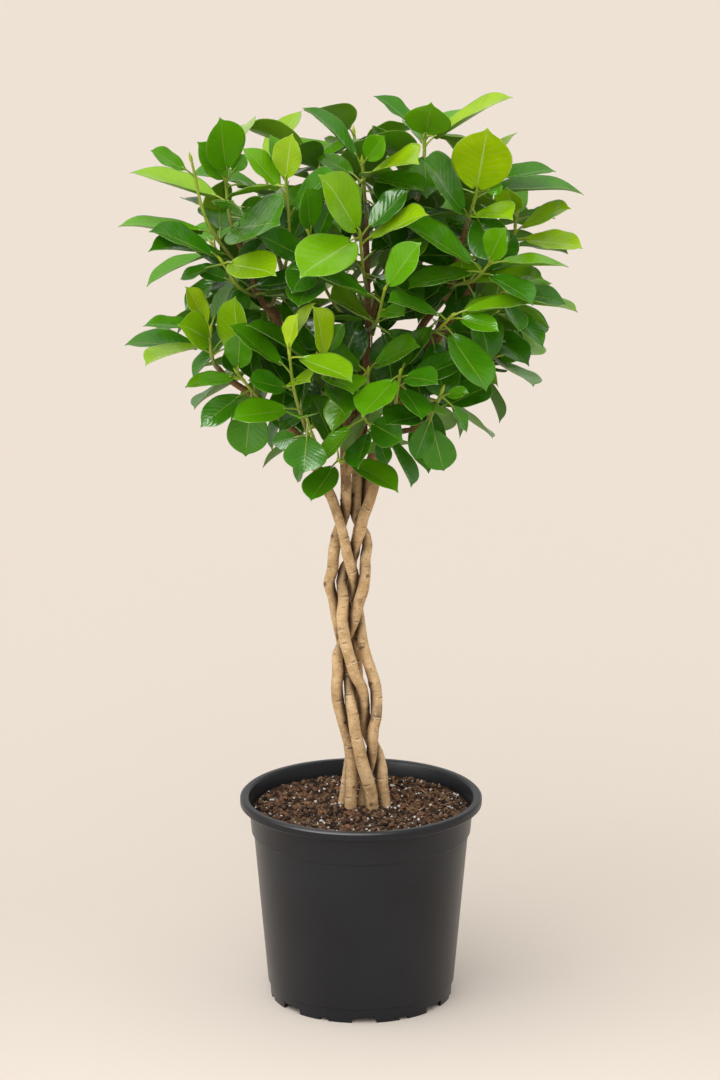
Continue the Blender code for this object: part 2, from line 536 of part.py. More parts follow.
def seen_trials(draw, twig, row):
    """A leaf from the table of the front shoots, turned so that its seen breadth is the table's.

    Then the same leaf nearer or farther on its line of sight and from higher or lower on its shoot.
    """
    fraction, x, y, z, breadth = row
    slimness, arch = draw.uniform(*LEAF_SLIMNESS), draw.uniform(*LEAF_ARCH)
    trials = []
    for slide in SLIDES:
        base, ahead = along_path(twig[:-1], min(max(fraction + slide, 0.08), 0.97))
        for shift in SHIFTS:
            tip = vec((x, y, z))
            tip += (SEEN_FROM - tip).normalized() * shift
            width = max(abs(breadth) * MM, ((tip - base).length - PETIOLE) * slimness)
            seen = breadth * MM / width
            trials.append({"base": base, "tip": tip, "roll": 0, "seen": seen, "width": width, "arch": arch,
                           "normal": leaf_normal(base, tip, 0, seen)})
    return trials + [nudged(trials[0], ahead, nudge) for nudge in NUDGES[1:]]


def rule_trials(draw, twig, number, count):
    leaf = rule_leaf(draw, twig, number, count)
    ahead = along_path(twig, 0.7)[1]
    return [nudged(leaf, ahead, nudge) for nudge in NUDGES]


def lay_out_plant():
    """The wood, then each shoot's twig and leaves, placed one after another in the room that is left."""
    wood = lay_out_wood()
    room = Room()
    for name, (path, radii) in wood.items():
        room.take(name, *tube_mesh(path, [radius + ROOM for radius in radii]))
    shoots = {}
    for name, row in (FRONT_SHOOTS | ROUND_SHOOTS).items():
        twig, sizes = lay_out_twig(wood, *row[:3])
        shoots[name] = {"twig": twig, "sizes": sizes, "leaves": []}
        room.take(name, *tube_mesh(twig[1:], [size + ROOM for size in sizes[1:]]))
    draws = {}
    for number, name in enumerate(shoots):
        draws[name] = random.Random(SEED + number)
        draws[name].phase = draws[name].uniform(0, math.tau)
    for name, (_, _, _, rows) in FRONT_SHOOTS.items():
        shoot = shoots[name]
        for row in rows:
            leaf = place_leaf(room, name, seen_trials(draws[name], shoot["twig"], row))
            if leaf:
                shoot["leaves"].append(leaf)
    for name, (_, _, _, count) in ROUND_SHOOTS.items():
        shoot = shoots[name]
        for number in range(count):
            leaf = place_leaf(room, name, rule_trials(draws[name], shoot["twig"], number, count), True)
            if leaf:
                shoot["leaves"].append(leaf)
    for name in FRONT_SHOOTS:
        shoot = shoots[name]
        for number in range(FILL_LEAVES):
            leaf = place_leaf(room, name, rule_trials(draws[name], shoot["twig"], number, FILL_LEAVES), True)
            if leaf:
                shoot["leaves"].append(leaf)
    return wood, shoots


def clear_scene():
    for item in list(bpy.data.objects):
        bpy.data.objects.remove(item, do_unlink=True)


def new_collection(name):
    collection = bpy.data.collections.new(name)
    bpy.context.scene.collection.children.link(collection)
    return collection


def make_material(name):
    colour, roughness = COLOURS[name]
    material = bpy.data.materials.new(name)
    material.use_nodes = True
    shader = material.node_tree.nodes["Principled BSDF"]
    shader.inputs["Base Color"].default_value = (*colour, 1)
    shader.inputs["Roughness"].default_value = roughness
    shader.inputs["Metallic"].default_value = 0
    return material


def add_object(name, mesh, collection, material=None):
    item = bpy.data.objects.new(name, mesh)
    collection.objects.link(item)
    if material:
        mesh.materials.clear()
        mesh.materials.append(material)
    return item


def mesh_from(verts, faces):
    mesh = bpy.data.meshes.new("mesh")
    mesh.from_pydata(verts, [], faces)
    cage = bmesh.new()
    cage.from_mesh(mesh)
    bmesh.ops.recalc_face_normals(cage, faces=cage.faces)
    cage.to_mesh(mesh)
    cage.free()
    return mesh


def applied_mesh(item):
    """The object's mesh with its modifiers applied, welded."""
    graph = bpy.context.evaluated_depsgraph_get()
    mesh = bpy.data.meshes.new_from_object(item.evaluated_get(graph))
    cage = bmesh.new()
    cage.from_mesh(mesh)
    bmesh.ops.remove_doubles(cage, verts=cage.verts, dist=1e-6)
    cage.to_mesh(mesh)
    cage.free()
    return mesh


def turned(name, profile, collection):
    """A profile of radius and height turned round Z."""
    mesh = bpy.data.meshes.new(name)
    mesh.from_pydata([(radius * MM, 0, height * MM) for radius, height in profile],
                     [(k, k + 1) for k in range(len(profile) - 1)], [])
    item = add_object(name, mesh, collection)
    screw = item.modifiers.new("Turn", "SCREW")
    screw.steps = POT_STEPS
    screw.render_steps = POT_STEPS
    screw.use_merge_vertices = True
    screw.merge_threshold = 0.00005
    screw.use_smooth_shade = False
    item.data = applied_mesh(item)
    item.modifiers.clear()
    return item


def tube_object(name, path, radii, collection, resolution=1):
    """A tapering tube as a bevelled curve with filled caps, made a mesh."""
    curve = bpy.data.curves.new(name, "CURVE")
    curve.dimensions = "3D"
    curve.bevel_depth = 1.0
    curve.bevel_resolution = resolution
    curve.use_fill_caps = True
    spline = curve.splines.new("POLY")
    spline.points.add(len(path) - 1)
    for point, place, radius in zip(spline.points, path, radii):
        point.co = (*place, 1)
        point.radius = radius
    guide = bpy.data.objects.new(name + "_curve", curve)
    collection.objects.link(guide)
    item = add_object(name, applied_mesh(guide), collection)
    bpy.data.objects.remove(guide)
    return item


def combine(item, others, operation, cutters):
    """Join a collection of meshes to an object, or cut them from it, and remove them."""
    group = bpy.data.collections.new("group")
    cutters.children.link(group)
    for other in others:
        for home in list(other.users_collection):
            home.objects.unlink(other)
        group.objects.link(other)
    boolean = item.modifiers.new("Combine", "BOOLEAN")
    boolean.operation = operation
    boolean.operand_type = "COLLECTION"
    boolean.collection = group
    boolean.solver = "EXACT"
    item.data = applied_mesh(item)
    item.modifiers.clear()
    for other in others:
        bpy.data.objects.remove(other)
    bpy.data.collections.remove(group)


def shade(item, material, angle=40):
    item.data.materials.clear()
    item.data.materials.append(material)
    item.data.shade_smooth()
    item.data.set_sharp_from_angle(angle=math.radians(angle))


def box_cutter(name, angle, radius, width, height, collection):
    """A block through the foot ring, standing on the floor and facing out."""
    bpy.ops.mesh.primitive_cube_add(size=1)
    item = bpy.context.object
    item.name = name
    item.data.transform(Matrix.Rotation(angle, 4, "Z") @ Matrix.Translation((radius, 0, 0))
                        @ Matrix.Diagonal((12 * MM, width, 2 * height, 1)))
    for home in list(item.users_collection):
        home.objects.unlink(item)
    collection.objects.link(item)
    return item


def make_pot(parts, cutters, material):
    pot = turned("pot", POT_PROFILE, parts)
    ring = 78 * MM
    blocks = []
    for number in range(NOTCHES):
        angle = math.radians(-88) + math.tau * number / NOTCHES
        blocks.append(box_cutter("notch", angle, ring, NOTCH_WIDTH, NOTCH_HEIGHT, cutters))
        blocks.append(box_cutter("slot", angle + math.pi / NOTCHES, ring, SLOT_WIDTH, SLOT_HEIGHT, cutters))
    for number in range(DRAINS):
        angle = math.tau * (number + 0.5) / DRAINS
        bpy.ops.mesh.primitive_cylinder_add(vertices=8, radius=DRAIN_RADIUS, depth=12 * MM)
        drain = bpy.context.object
        drain.data.transform(Matrix.Translation((DRAIN_CIRCLE * math.cos(angle),
                                                 DRAIN_CIRCLE * math.sin(angle), 7 * MM)))
        blocks.append(drain)
    combine(pot, blocks, "DIFFERENCE", cutters)
    shade(pot, material)


def make_soil(parts, cutters, wood, material):
    soil = turned("soil", SOIL_PROFILE, parts)
    draw = random.Random(SEED)
    for vertex in soil.data.vertices:
        edge = math.hypot(vertex.co.x, vertex.co.y) > 90 * MM
        if vertex.co.z > SOIL_TOP and not edge:
            vertex.co.z += draw.uniform(-1, 1) * SOIL_RELIEF
    holes = []
    for name in STEMS:
        path, radii = wood[name]
        count = next(index for index, point in enumerate(path) if point.z > 190 * MM) + 1
        start = path[0] - (path[1] - path[0]).normalized() * GAP
        holes.append(tube_object("hole", [start] + path[1:count], [r + GAP for r in radii[:count]], cutters))
    combine(soil, holes, "DIFFERENCE", cutters)
    shade(soil, material, 20)


def make_stems(parts, cutters, wood, material):
    for name in STEMS:
        stem = tube_object(name, *wood[name], parts)
        limbs = [tube_object(limb, *wood[limb], cutters, 1) for limb, row in LIMBS.items() if row[0] == name]
        if limbs:
            combine(stem, limbs, "UNION", cutters)
        shade(stem, material)


def make_shoots(parts, cutters, shoots, material):
    for name, shoot in shoots.items():
        twig = tube_object(name, shoot["twig"], shoot["sizes"], parts, 0)
        leaves = [add_object("leaf", mesh_from(leaf_corners(leaf), STALK_FACES + BLADE_FACES), cutters)
                  for leaf in shoot["leaves"]]
        combine(twig, leaves, "UNION", cutters)
        shade(twig, material)


def main():
    clear_scene()
    parts = new_collection("potted_ficus")
    cutters = new_collection("cutters")
    materials = {name: make_material(name) for name in COLOURS}
    wood, shoots = lay_out_plant()
    make_pot(parts, cutters, materials["pot"])
    make_soil(parts, cutters, wood, materials["soil"])
    make_stems(parts, cutters, wood, materials["bark"])
    make_shoots(parts, cutters, shoots, materials["leaf"])


main()
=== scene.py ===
"""The looks of the potted ficus: fine leaves, twigs, bark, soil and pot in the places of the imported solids.

Metres, +Z up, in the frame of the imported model. The plant's layout is the same as in the part's source, so
each fine leaf, twig and stem lies where its solid does.
"""

import json
import math
import random

import bmesh
import bpy
import numpy as np
from mathutils import Matrix, Vector, kdtree, noise
from mathutils.bvhtree import BVHTree

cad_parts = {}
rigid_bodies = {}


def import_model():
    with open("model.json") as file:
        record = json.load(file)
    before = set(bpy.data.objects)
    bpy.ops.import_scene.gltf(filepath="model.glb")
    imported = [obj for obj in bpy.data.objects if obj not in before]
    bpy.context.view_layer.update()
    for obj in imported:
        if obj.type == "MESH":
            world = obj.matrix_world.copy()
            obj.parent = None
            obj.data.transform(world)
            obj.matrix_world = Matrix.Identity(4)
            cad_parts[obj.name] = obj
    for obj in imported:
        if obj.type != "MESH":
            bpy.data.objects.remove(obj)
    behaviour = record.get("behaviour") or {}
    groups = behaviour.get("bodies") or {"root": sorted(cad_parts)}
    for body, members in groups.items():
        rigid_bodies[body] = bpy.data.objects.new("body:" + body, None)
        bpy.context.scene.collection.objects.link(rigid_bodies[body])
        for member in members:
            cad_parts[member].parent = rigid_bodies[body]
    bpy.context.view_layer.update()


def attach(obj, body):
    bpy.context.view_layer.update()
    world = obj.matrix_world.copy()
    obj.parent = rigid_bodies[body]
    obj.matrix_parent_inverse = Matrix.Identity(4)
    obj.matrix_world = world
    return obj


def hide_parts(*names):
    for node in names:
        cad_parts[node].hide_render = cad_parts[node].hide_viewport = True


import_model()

MM = 0.001
GAP = 0.3 * MM  # between a piece and what carries it
SEED = 21

SOIL_PEAK = 170.5 * MM

# The braid: foot radius and tip radius, then the points that each stem passes, on into the head.
STEMS = {
    "stem_front": (5.7, 2.4, [
        (9, -9, 134), (9.5, -8, 176), (2.6, -10, 211), (-4, -9, 236), (-8, -6, 263), (-10.5, 0, 283),
        (-14, 9, 308), (-21.5, 4, 344), (-23.5, 0, 365), (-23.7, 0, 381), (-23, 1, 400), (-19.7, 3, 414),
        (-14, -2, 436), (-13, -5, 456), (-13.5, -7, 480), (-14, -9, 520), (-24, -13, 558), (-47, -18, 588),
        (-69, -24, 605), (-86, -30, 630), (-94, -34, 657), (-103, -38, 676),
    ]),
    "stem_right": (5.5, 2.4, [
        (22, 2, 134), (20.5, 1, 175), (15, 4, 207), (11, 8, 221), (4.3, 6, 240), (3, 1, 256), (0, -3, 273),
        (-4, -8, 287), (-10, -10, 309), (-13, -10, 320), (-16, -9, 341), (-15.5, -5, 361), (-15, 1, 377),
        (-9, 6, 388), (-3, 2, 402), (0.6, -7, 424), (2.6, -7, 434), (6.5, -5, 443), (10.4, -4, 456),
        (19, -8, 488), (30, -16, 532), (41, -20, 571), (51, -24, 601), (66, -28, 621), (77, -30, 640),
        (82, -32, 668), (87, -34, 686),
    ]),
    "stem_middle": (5.3, 2.3, [
        (1, 8, 134), (2.6, 5, 173), (7, 2, 200), (9, -4, 218), (10.5, -4, 241), (12.5, -2, 254),
        (13, 0, 275), (10.5, 0, 286), (6.5, 0, 300), (2.6, 2, 313), (0, 4, 327), (-5, 8, 349),
        (-6.6, 2, 363), (-8.6, -4, 382), (-11.2, -8, 396), (-13.2, -10, 407), (-17.7, -10, 427),
        (-24.3, -7, 447), (-29, -6, 456), (-39, -10, 478), (-58, -22, 511), (-88, -34, 542),
        (-108, -42, 557), (-119, -48, 570),
    ]),
    "stem_left": (5.5, 2.4, [
        (-9, -6, 134), (-9, -5, 176), (-8, -1, 201), (-10.4, 3, 227), (-15.3, 0, 247), (-18, -2, 262),
        (-18.5, -2, 276), (-19.8, -2, 298), (-19.8, 0, 311), (-12, 2, 325), (-7, -3, 336), (-2.7, -5, 353),
        (0, -7, 367), (2.6, -3, 389), (2.6, 3, 406), (-4, 5, 430), (-3, 6, 454), (-4, 16, 484),
        (-10, 34, 516), (-24, 58, 554), (-48, 80, 592), (-66, 92, 625),
    ]),
    "stem_back": (5.3, 2.4, [
        (-18, 9, 134), (-14.3, 8, 175), (-9.5, 12, 209), (-3.5, 13, 235), (-2.6, 12, 272), (-4.3, 14, 307),
        (-7.8, 12, 335), (-9.5, 12, 361), (-7.7, 13, 388), (-2.6, 12, 414), (3.4, 10, 453), (12, 17, 484),
        (34, 26, 524), (60, 26, 571), (86, 18, 613), (98, 12, 635), (114, 8, 647),
    ]),
}
STEM_SPACING = 13.5 * MM
STEM_CLEARANCE = 0.45 * MM
HOLE_WALL = 1.4 * MM  # soil left between two stems
SETTLE_ROUNDS = 400
SETTLE_SPLIT = 4  # finer points between two of a stem's, at which the stems are held apart
SETTLE_RISE = 0.2  # how much of a push may go up or down
SETTLE_PUSH = 0.5  # the share of what is short that each stem of a pair gives
SETTLE_EASE = 0.6  # the share of that in one round
FORK_HEIGHT = 450 * MM  # where the braid ends
FORK_GIRTH = 0.86  # a stem's radius there against its foot
CURVE_STEPS = 8  # from one given point of a path to the next

# Side limbs: the stem they are fused to, foot and tip radius, and the points they pass from its axis out.
LIMBS = {
    "limb_centre": ("stem_front", 3.6, 2.2, [
        (-13, -6, 468), (-4, -16, 486), (1, -21, 503), (4, -24, 541), (5, -27, 583), (6, -28, 621),
        (5, -28, 650), (4, -24, 690)]),
    "limb_top": ("stem_front", 2.6, 2.0, [
        (5, -27, 592), (16, -16, 632), (34, -8, 676), (46, -4, 704)]),
    "limb_back_left": ("stem_front", 2.8, 2.0, [
        (-20, -11, 546), (-46, 10, 578), (-88, 36, 616)]),
    "limb_low_right": ("stem_right", 3.0, 2.0, [
        (22, -10, 500), (30, -36, 512), (44, -66, 522), (52, -84, 532)]),
    "limb_low_left": ("stem_middle", 3.0, 2.0, [
        (-44, -14, 486), (-42, -44, 500), (-38, -78, 512)]),
    "limb_back": ("stem_left", 3.2, 2.0, [
        (-6, 24, 498), (2, 54, 540), (6, 78, 590), (4, 92, 640), (0, 92, 690)]),
    "limb_back_right": ("stem_back", 3.0, 2.0, [
        (22, 21, 502), (38, 48, 532), (62, 76, 570), (86, 92, 616)]),
}
LIMB_SPACING = 24 * MM

# The leafy shoots seen from the front: the limb, a point near their foot, their tip, and their leaves as
# (fraction along the shoot, leaf tip x, y, z, breadth as seen from the front, youth). A breadth below 0
# shows the underside, and youth is 0 on an old leaf and 1 on a new one.
FRONT_SHOOTS = {
    "shoot_centre_3": ("limb_centre", (5, -26, 600), (19, -125, 651), [
        (0.9, 47, -158, 697, 24, 0.4), (0.8, -55, -145, 676, 11, 0.1), (0.3, -25, -150, 650, 12, 0.65),
        (0.65, 34, -168, 640, 14, 0.3)]),
    "shoot_left_top_1": ("stem_front", (-94, -34, 655), (-139, -58, 746), [
        (0.86, -171, -70, 757, 13, 0.3), (0.38, -200, -62, 695, 8, 0.4), (0.6, -148, -20, 709, 8, 0.1),
        (0.12, -174, -88, 679, 11, 0.1)]),
    "shoot_left_2": ("stem_front", (-79, -28, 620), (-61, -85, 733), [
        (0.95, -56, -104, 775, 24, 0.8), (0.86, -96, -80, 761, 17, 0.5), (0.7, -22, -100, 746, 13, 0.15),
        (0.9, -73, -50, 767, 15, 0.35), (0.45, -44, -84, 712, 15, 0.1), (0.08, -110, -10, 650, 18, 0.05)]),
    "shoot_left_top_2": ("stem_front", (-103, -38, 676), (-111, -50, 736), [
        (0.9, -113, -92, 785, 33, 0.35), (0.55, -192, -20, 733, 14, 0.65),
        (0.2, -50, -122, 737, 25, 0.2), (0.25, -104, -125, 722, 32, 0.3),
        (0.75, -132, -80, 765, 22, 0.35), (0.85, -95, -64, 752, 14, 0.2), (0.5, -76, -60, 706, 20, 0.3)]),
    "shoot_left_1": ("stem_front", (-86, -30, 630), (-114, -80, 666), [
        (0.85, -172, -95, 696, 15, 0.0), (0.5, -136, -98, 664, 14, 0.0),
        (0.95, -150, -60, 648, 10, 0.05), (0.12, -38, -100, 641, 9, 0.5), (0.7, -76, -30, 678, 16, 0.0)]),
    "shoot_centre_left": ("limb_centre", (5, -27, 596), (-43, -92, 692), [
        (0.97, -43, -128, 735, 20, 0.2), (0.75, -82, -105, 693, 22, 0.0), (0.65, -6, -128, 671, 8, 0.35),
        (0.85, -22, -88, 718, 16, 0.1)]),
    "shoot_centre_2": ("limb_centre", (4, -24, 690), (1, -40, 741), [
        (0.85, -47, -40, 789, 11, 0.1), (0.95, 18, -74, 768, 20, 0.45), (0.75, 52, -84, 727, 14, 0.25),
        (0.45, 46, -86, 751, 7, 0.8), (0.6, -38, -14, 743, 14, 0.35), (0.15, -30, 5, 655, 20, 0.05)]),
    "shoot_centre_1": ("limb_centre", (5, -28, 636), (-1, -95, 691), [
        (0.85, -32, -115, 744, 30, 0.6), (0.3, -36, -100, 705, 8, 0.5), (0.2, -20, -100, 651, 16, 0.6),
        (0.85, 53, -130, 716, 13, 0.75), (0.95, 38, -92, 728, 19, 0.05)]),
    "shoot_top": ("limb_top", (46, -4, 704), (53, -10, 760), [
        (0.9, 11, -6, 793, 12, 0.1), (0.95, 57, -60, 792, 39, 0.5), (0.8, 124, -30, 797, 9, 0.85),
        (0.9, 86, 12, 780, 11, 0.3), (0.55, 5, -58, 768, -24, 0.3), (0.7, 38, 40, 764, 15, 0.3)]),
    "shoot_right_top": ("stem_right", (87, -34, 686), (99, -50, 737), [
        (0.5, 102, -92, 776, 50, 1.0), (0.12, 52, -92, 753, 36, 0.05), (0.75, 161, -40, 736, 12, 0.1),
        (0.5, 186, -30, 716, 12, 0.15), (0.12, 123, -98, 706, 12, 0.7), (0.6, 116, -74, 727, 12, 0.3),
        (0.85, 128, -8, 763, 9, 0.8)]),
    "shoot_right_1": ("stem_back", (114, 8, 647), (129, -22, 697), [
        (0.6, 172, -46, 706, 13, 0.75), (0.85, 160, -2, 693, 14, 0.0), (0.5, 184, -38, 671, 16, 0.8),
        (0.93, 122, -44, 740, 26, 0.7), (0.75, 128, 24, 730, 14, 0.3)]),
    "shoot_right_2": ("stem_right", (77, -30, 640), (106, -90, 667), [
        (0.3, 81, -112, 673, 30, 0.6), (0.75, 36, -122, 706, 18, 0.15), (0.15, 149, -100, 658, 12, 0.6),
        (0.7, 141, -104, 636, 15, 0.05), (0.95, 116, -124, 702, 22, 0.45), (0.1, 22, -10, 625, 18, 0.05)]),
    "shoot_right_3": ("stem_back", (86, 18, 613), (119, -60, 637), [
        (0.95, 171, -54, 626, 15, 0.05), (0.7, 152, -72, 593, 14, 0.0), (0.5, 158, -40, 603, -10, 0.3),
        (0.8, 160, -20, 638, 13, 0.4), (0.9, 130, -98, 612, 13, 0.1)]),
    "shoot_centre_4": ("stem_front", (-20, -11, 545), (-35, -120, 596), [
        (0.85, -37, -140, 641, 17, 0.85), (0.6, -6, -150, 573, 16, 0.45), (0.5, -12, -140, 553, 23, 0.3),
        (0.7, -92, -118, 624, 10, 0.2), (0.95, -14, -132, 626, 14, 0.3)]),
    "shoot_centre_5": ("limb_centre", (4, -25, 548), (6, -72, 573), [
        (0.95, 47, -114, 604, 17, 0.4), (0.9, -32, -112, 600, 17, 0.35), (0.5, 27, -115, 558, 17, 0.45)]),
    "shoot_left_3": ("limb_low_left", (-40, -60, 505), (-58, -135, 600), [
        (0.95, -52, -150, 637, 12, 0.95), (0.9, -38, -140, 645, 9, 0.95),
        (0.75, -106, -116, 622, 16, 0.2), (0.55, -91, -128, 578, 18, 0.0),
        (0.35, -106, -110, 542, 21, 0.35), (0.45, -42, -158, 584, 11, 0.7)]),
    "shoot_left_4": ("stem_middle", (-119, -48, 570), (-124, -70, 606), [
        (0.95, -180, -76, 613, 11, 0.2), (0.4, -197, -58, 594, 16, 0.1), (0.5, -178, -96, 585, 9, 0.75),
        (0.88, -143, -86, 647, 16, 0.9), (0.7, -147, -116, 621, 26, 0.6), (0.63, -140, -10, 626, 12, 0.3)]),
    "shoot_left_5": ("stem_middle", (-88, -34, 542), (-102, -84, 574), [
        (0.8, -146, -86, 563, 11, 0.5), (0.55, -133, -92, 530, 22, 0.1), (0.95, -98, -122, 615, 23, 0.2),
        (0.5, -96, -76, 500, 35, 0.2), (0.85, -132, -116, 572, 12, 0.3)]),
    "shoot_low_left": ("limb_low_left", (-38, -78, 512), (-44, -112, 540), [
        (0.95, -47, -126, 499, 36, 0.1), (0.6, -74, -100, 518, 16, 0.0), (0.5, -54, -92, 482, 11, 0.0)]),
    "shoot_low_centre": ("stem_front", (-13.5, -7, 484), (-19, -50, 492), [
        (0.95, -42, -98, 470, 24, 0.2), (0.9, 32, -86, 474, 19, 0.45)]),
    "shoot_low_front": ("stem_right", (26, -13, 516), (2, -100, 540), [
        (0.85, 33, -140, 530, 27, 0.05), (0.6, -4, -128, 504, 16, 0.0), (0.5, 22, -78, 494, 14, 0.0)]),
    "shoot_low_right_1": ("stem_right", (30, -16, 532), (32, -112, 580), [
        (0.8, 50, -150, 551, 18, 0.05), (0.9, 62, -150, 580, 17, 0.1), (0.95, 58, -120, 622, 16, 0.25)]),
    "shoot_right_4": ("stem_right", (51, -24, 601), (74, -115, 628), [
        (0.75, 103, -140, 572, 27, 0.15), (0.9, 112, -134, 620, 15, 0.3), (0.85, 22, -146, 648, 11, 0.1),
        (0.5, 115, -95, 566, -13, 0.2)]),
    "shoot_low_right_2": ("limb_low_right", (52, -84, 532), (66, -104, 562), [
        (0.9, 88, -104, 528, 10, 0.1), (0.3, 69, -80, 488, 28, 0.0), (0.6, 44, -104, 504, 20, 0.0),
        (0.9, 59, -134, 551, -20, 0.2), (0.8, 88, -122, 566, 10, 0.3)]),
}

# The shoots of the sides, back and underside: limb, point near the foot, tip, and how many leaves.
ROUND_SHOOTS = {
    "shoot_back_1": ("limb_back", (0, 92, 690), (-6, 96, 744), 7),
    "shoot_back_2": ("limb_back", (4, 90, 640), (46, 122, 684), 6),
    "shoot_back_3": ("limb_back", (3, 92, 655), (-38, 122, 700), 7),
    "shoot_back_4": ("limb_back", (6, 80, 596), (-6, 138, 620), 6),
    "shoot_back_5": ("limb_back", (4, 66, 562), (22, 122, 560), 5),
    "shoot_back_6": ("limb_back", (-2, 40, 520), (-12, 92, 520), 5),
    "shoot_back_left_1": ("stem_left", (-66, 92, 625), (-82, 108, 670), 6),
    "shoot_back_left_2": ("stem_left", (-44, 76, 586), (-72, 126, 600), 6),
    "shoot_back_left_3": ("stem_left", (-24, 58, 554), (-76, 84, 548), 5),
    "shoot_back_left_4": ("limb_back_left", (-88, 36, 616), (-126, 48, 656), 6),
    "shoot_back_left_5": ("limb_back_left", (-70, 24, 600), (-124, 42, 592), 6),
    "shoot_back_left_6": ("limb_back_left", (-52, 14, 583), (-84, 44, 722), 6),
    "shoot_back_left_7": ("limb_back_left", (-38, 5, 570), (-104, 16, 552), 5),
    "shoot_back_right_1": ("limb_back_right", (86, 92, 616), (108, 100, 660), 6),
    "shoot_back_right_2": ("limb_back_right", (72, 84, 592), (84, 128, 610), 6),
    "shoot_back_right_3": ("limb_back_right", (52, 64, 553), (86, 92, 548), 5),
    "shoot_back_right_4": ("stem_back", (70, 24, 586), (128, 56, 606), 6),
    "shoot_back_right_5": ("stem_back", (56, 26, 562), (118, 22, 566), 6),
    "shoot_back_right_6": ("stem_back", (100, 11, 638), (104, 56, 706), 6),
    "shoot_back_right_7": ("stem_back", (40, 26, 536), (82, 34, 520), 5),
    "shoot_top_back": ("limb_top", (30, -10, 668), (50, 56, 724), 6),
    "shoot_top_left": ("limb_centre", (5, -25, 675), (-40, 22, 742), 7),
    "shoot_under": ("stem_left", (-6, 24, 500), (-52, 36, 508), 5),
}
TWIG_FOOT_RADIUS = 1.9 * MM
TWIG_TIP_RADIUS = 1.3 * MM
TWIG_STUB = 5 * MM
BUD_LENGTH = 9 * MM
TURN = math.radians(137.5)  # from one leaf to the next up a shoot
FILL_LEAVES = 2  # by rule, on each front shoot behind the leaves in its table

# Leaves: thick glossy plates on short stalks, broadest past their middle.
LEAF_THICKNESS = 0.8 * MM
PETIOLE = 12 * MM
STALK_SIZE = 1.5 * MM
LEAF_ARCH = (0.055, 0.12)  # the rib's rise against the leaf's length
LEAF_FOLD = 0.16
BROAD_LOW, BROAD_HIGH = 0.33, 0.76  # where along the blade its two broad stations lie
BROAD_SHARE = 0.94  # their breadth against the widest
LEAF_LENGTHS = (64 * MM, 86 * MM)
LEAF_SLIMNESS = (0.54, 0.64)
SEEN_FROM = Vector((0, -3290 * MM, 1270 * MM))  # from where the table gives the leaves' breadths
CROWN_CENTRE = Vector((-5 * MM, 0, 622 * MM))
CROWN_RADII = Vector((193 * MM, 190 * MM, 172 * MM))
CROWN_FLOOR = 462 * MM
CROWN_SHOULDER = 590 * MM  # the height below which the head draws in
CROWN_FOOT = 0.55  # the head's breadth at its lowest against its widest
ROOM = 0.9 * MM  # kept clear round a leaf and a twig
TWIG_SPACING = 12 * MM
TWIG_BOW, TWIG_SAG = 0.08, 0.05  # how far a twig bows out and down, against its length
BUD_POINT = 0.25 * MM
LIGHT_LEAN = 0.3  # how much of the light comes from outside the head, against from above
RULE_FIRST, RULE_SPAN = 0.34, 0.62  # the part of a shoot that bears the leaves set by rule
RULE_SPREAD, RULE_CLOSING = 78, 34  # degrees off the shoot at its foot, and how far that closes to its tip
RULE_DROOP = 0.22
SHOOT_ENDS = (0.08, 0.97)  # no leaf of the table grows nearer to a shoot's ends
MORE_SEED, MORE_LEAVES, LEAF_TRIALS = 600, 4, 12  # further leaves for each shoot, and the places tried
INNER_HEAD = 0.80  # how far out they may reach, as a share of the head


def vec(point):
    return Vector(point) * MM


def smooth_path(points, spacing):
    """Points about `spacing` apart on a smooth curve through the given ones."""
    ends = [points[0] * 2 - points[1]] + list(points) + [points[-1] * 2 - points[-2]]
    dense = []
    for before, start, end, after in zip(ends, ends[1:], ends[2:], ends[3:]):
        for step in range(CURVE_STEPS):
            t = step / CURVE_STEPS
            dense.append(0.5 * (2 * start + (end - before) * t
                                + (2 * before - 5 * start + 4 * end - after) * t ** 2
                                + (3 * start - before - 3 * end + after) * t ** 3))
    dense.append(points[-1].copy())
    lengths = [0.0]
    for start, end in zip(dense, dense[1:]):
        lengths.append(lengths[-1] + (end - start).length)
    count = max(2, round(lengths[-1] / spacing))
    path, index = [], 0
    for step in range(count + 1):
        target = lengths[-1] * step / count
        while index < len(dense) - 2 and lengths[index + 1] < target:
            index += 1
        span = lengths[index + 1] - lengths[index]
        path.append(dense[index].lerp(dense[index + 1], (target - lengths[index]) / span))
    return path


def taper(start, end, count):
    return [start + (end - start) * step / (count - 1) for step in range(count)]


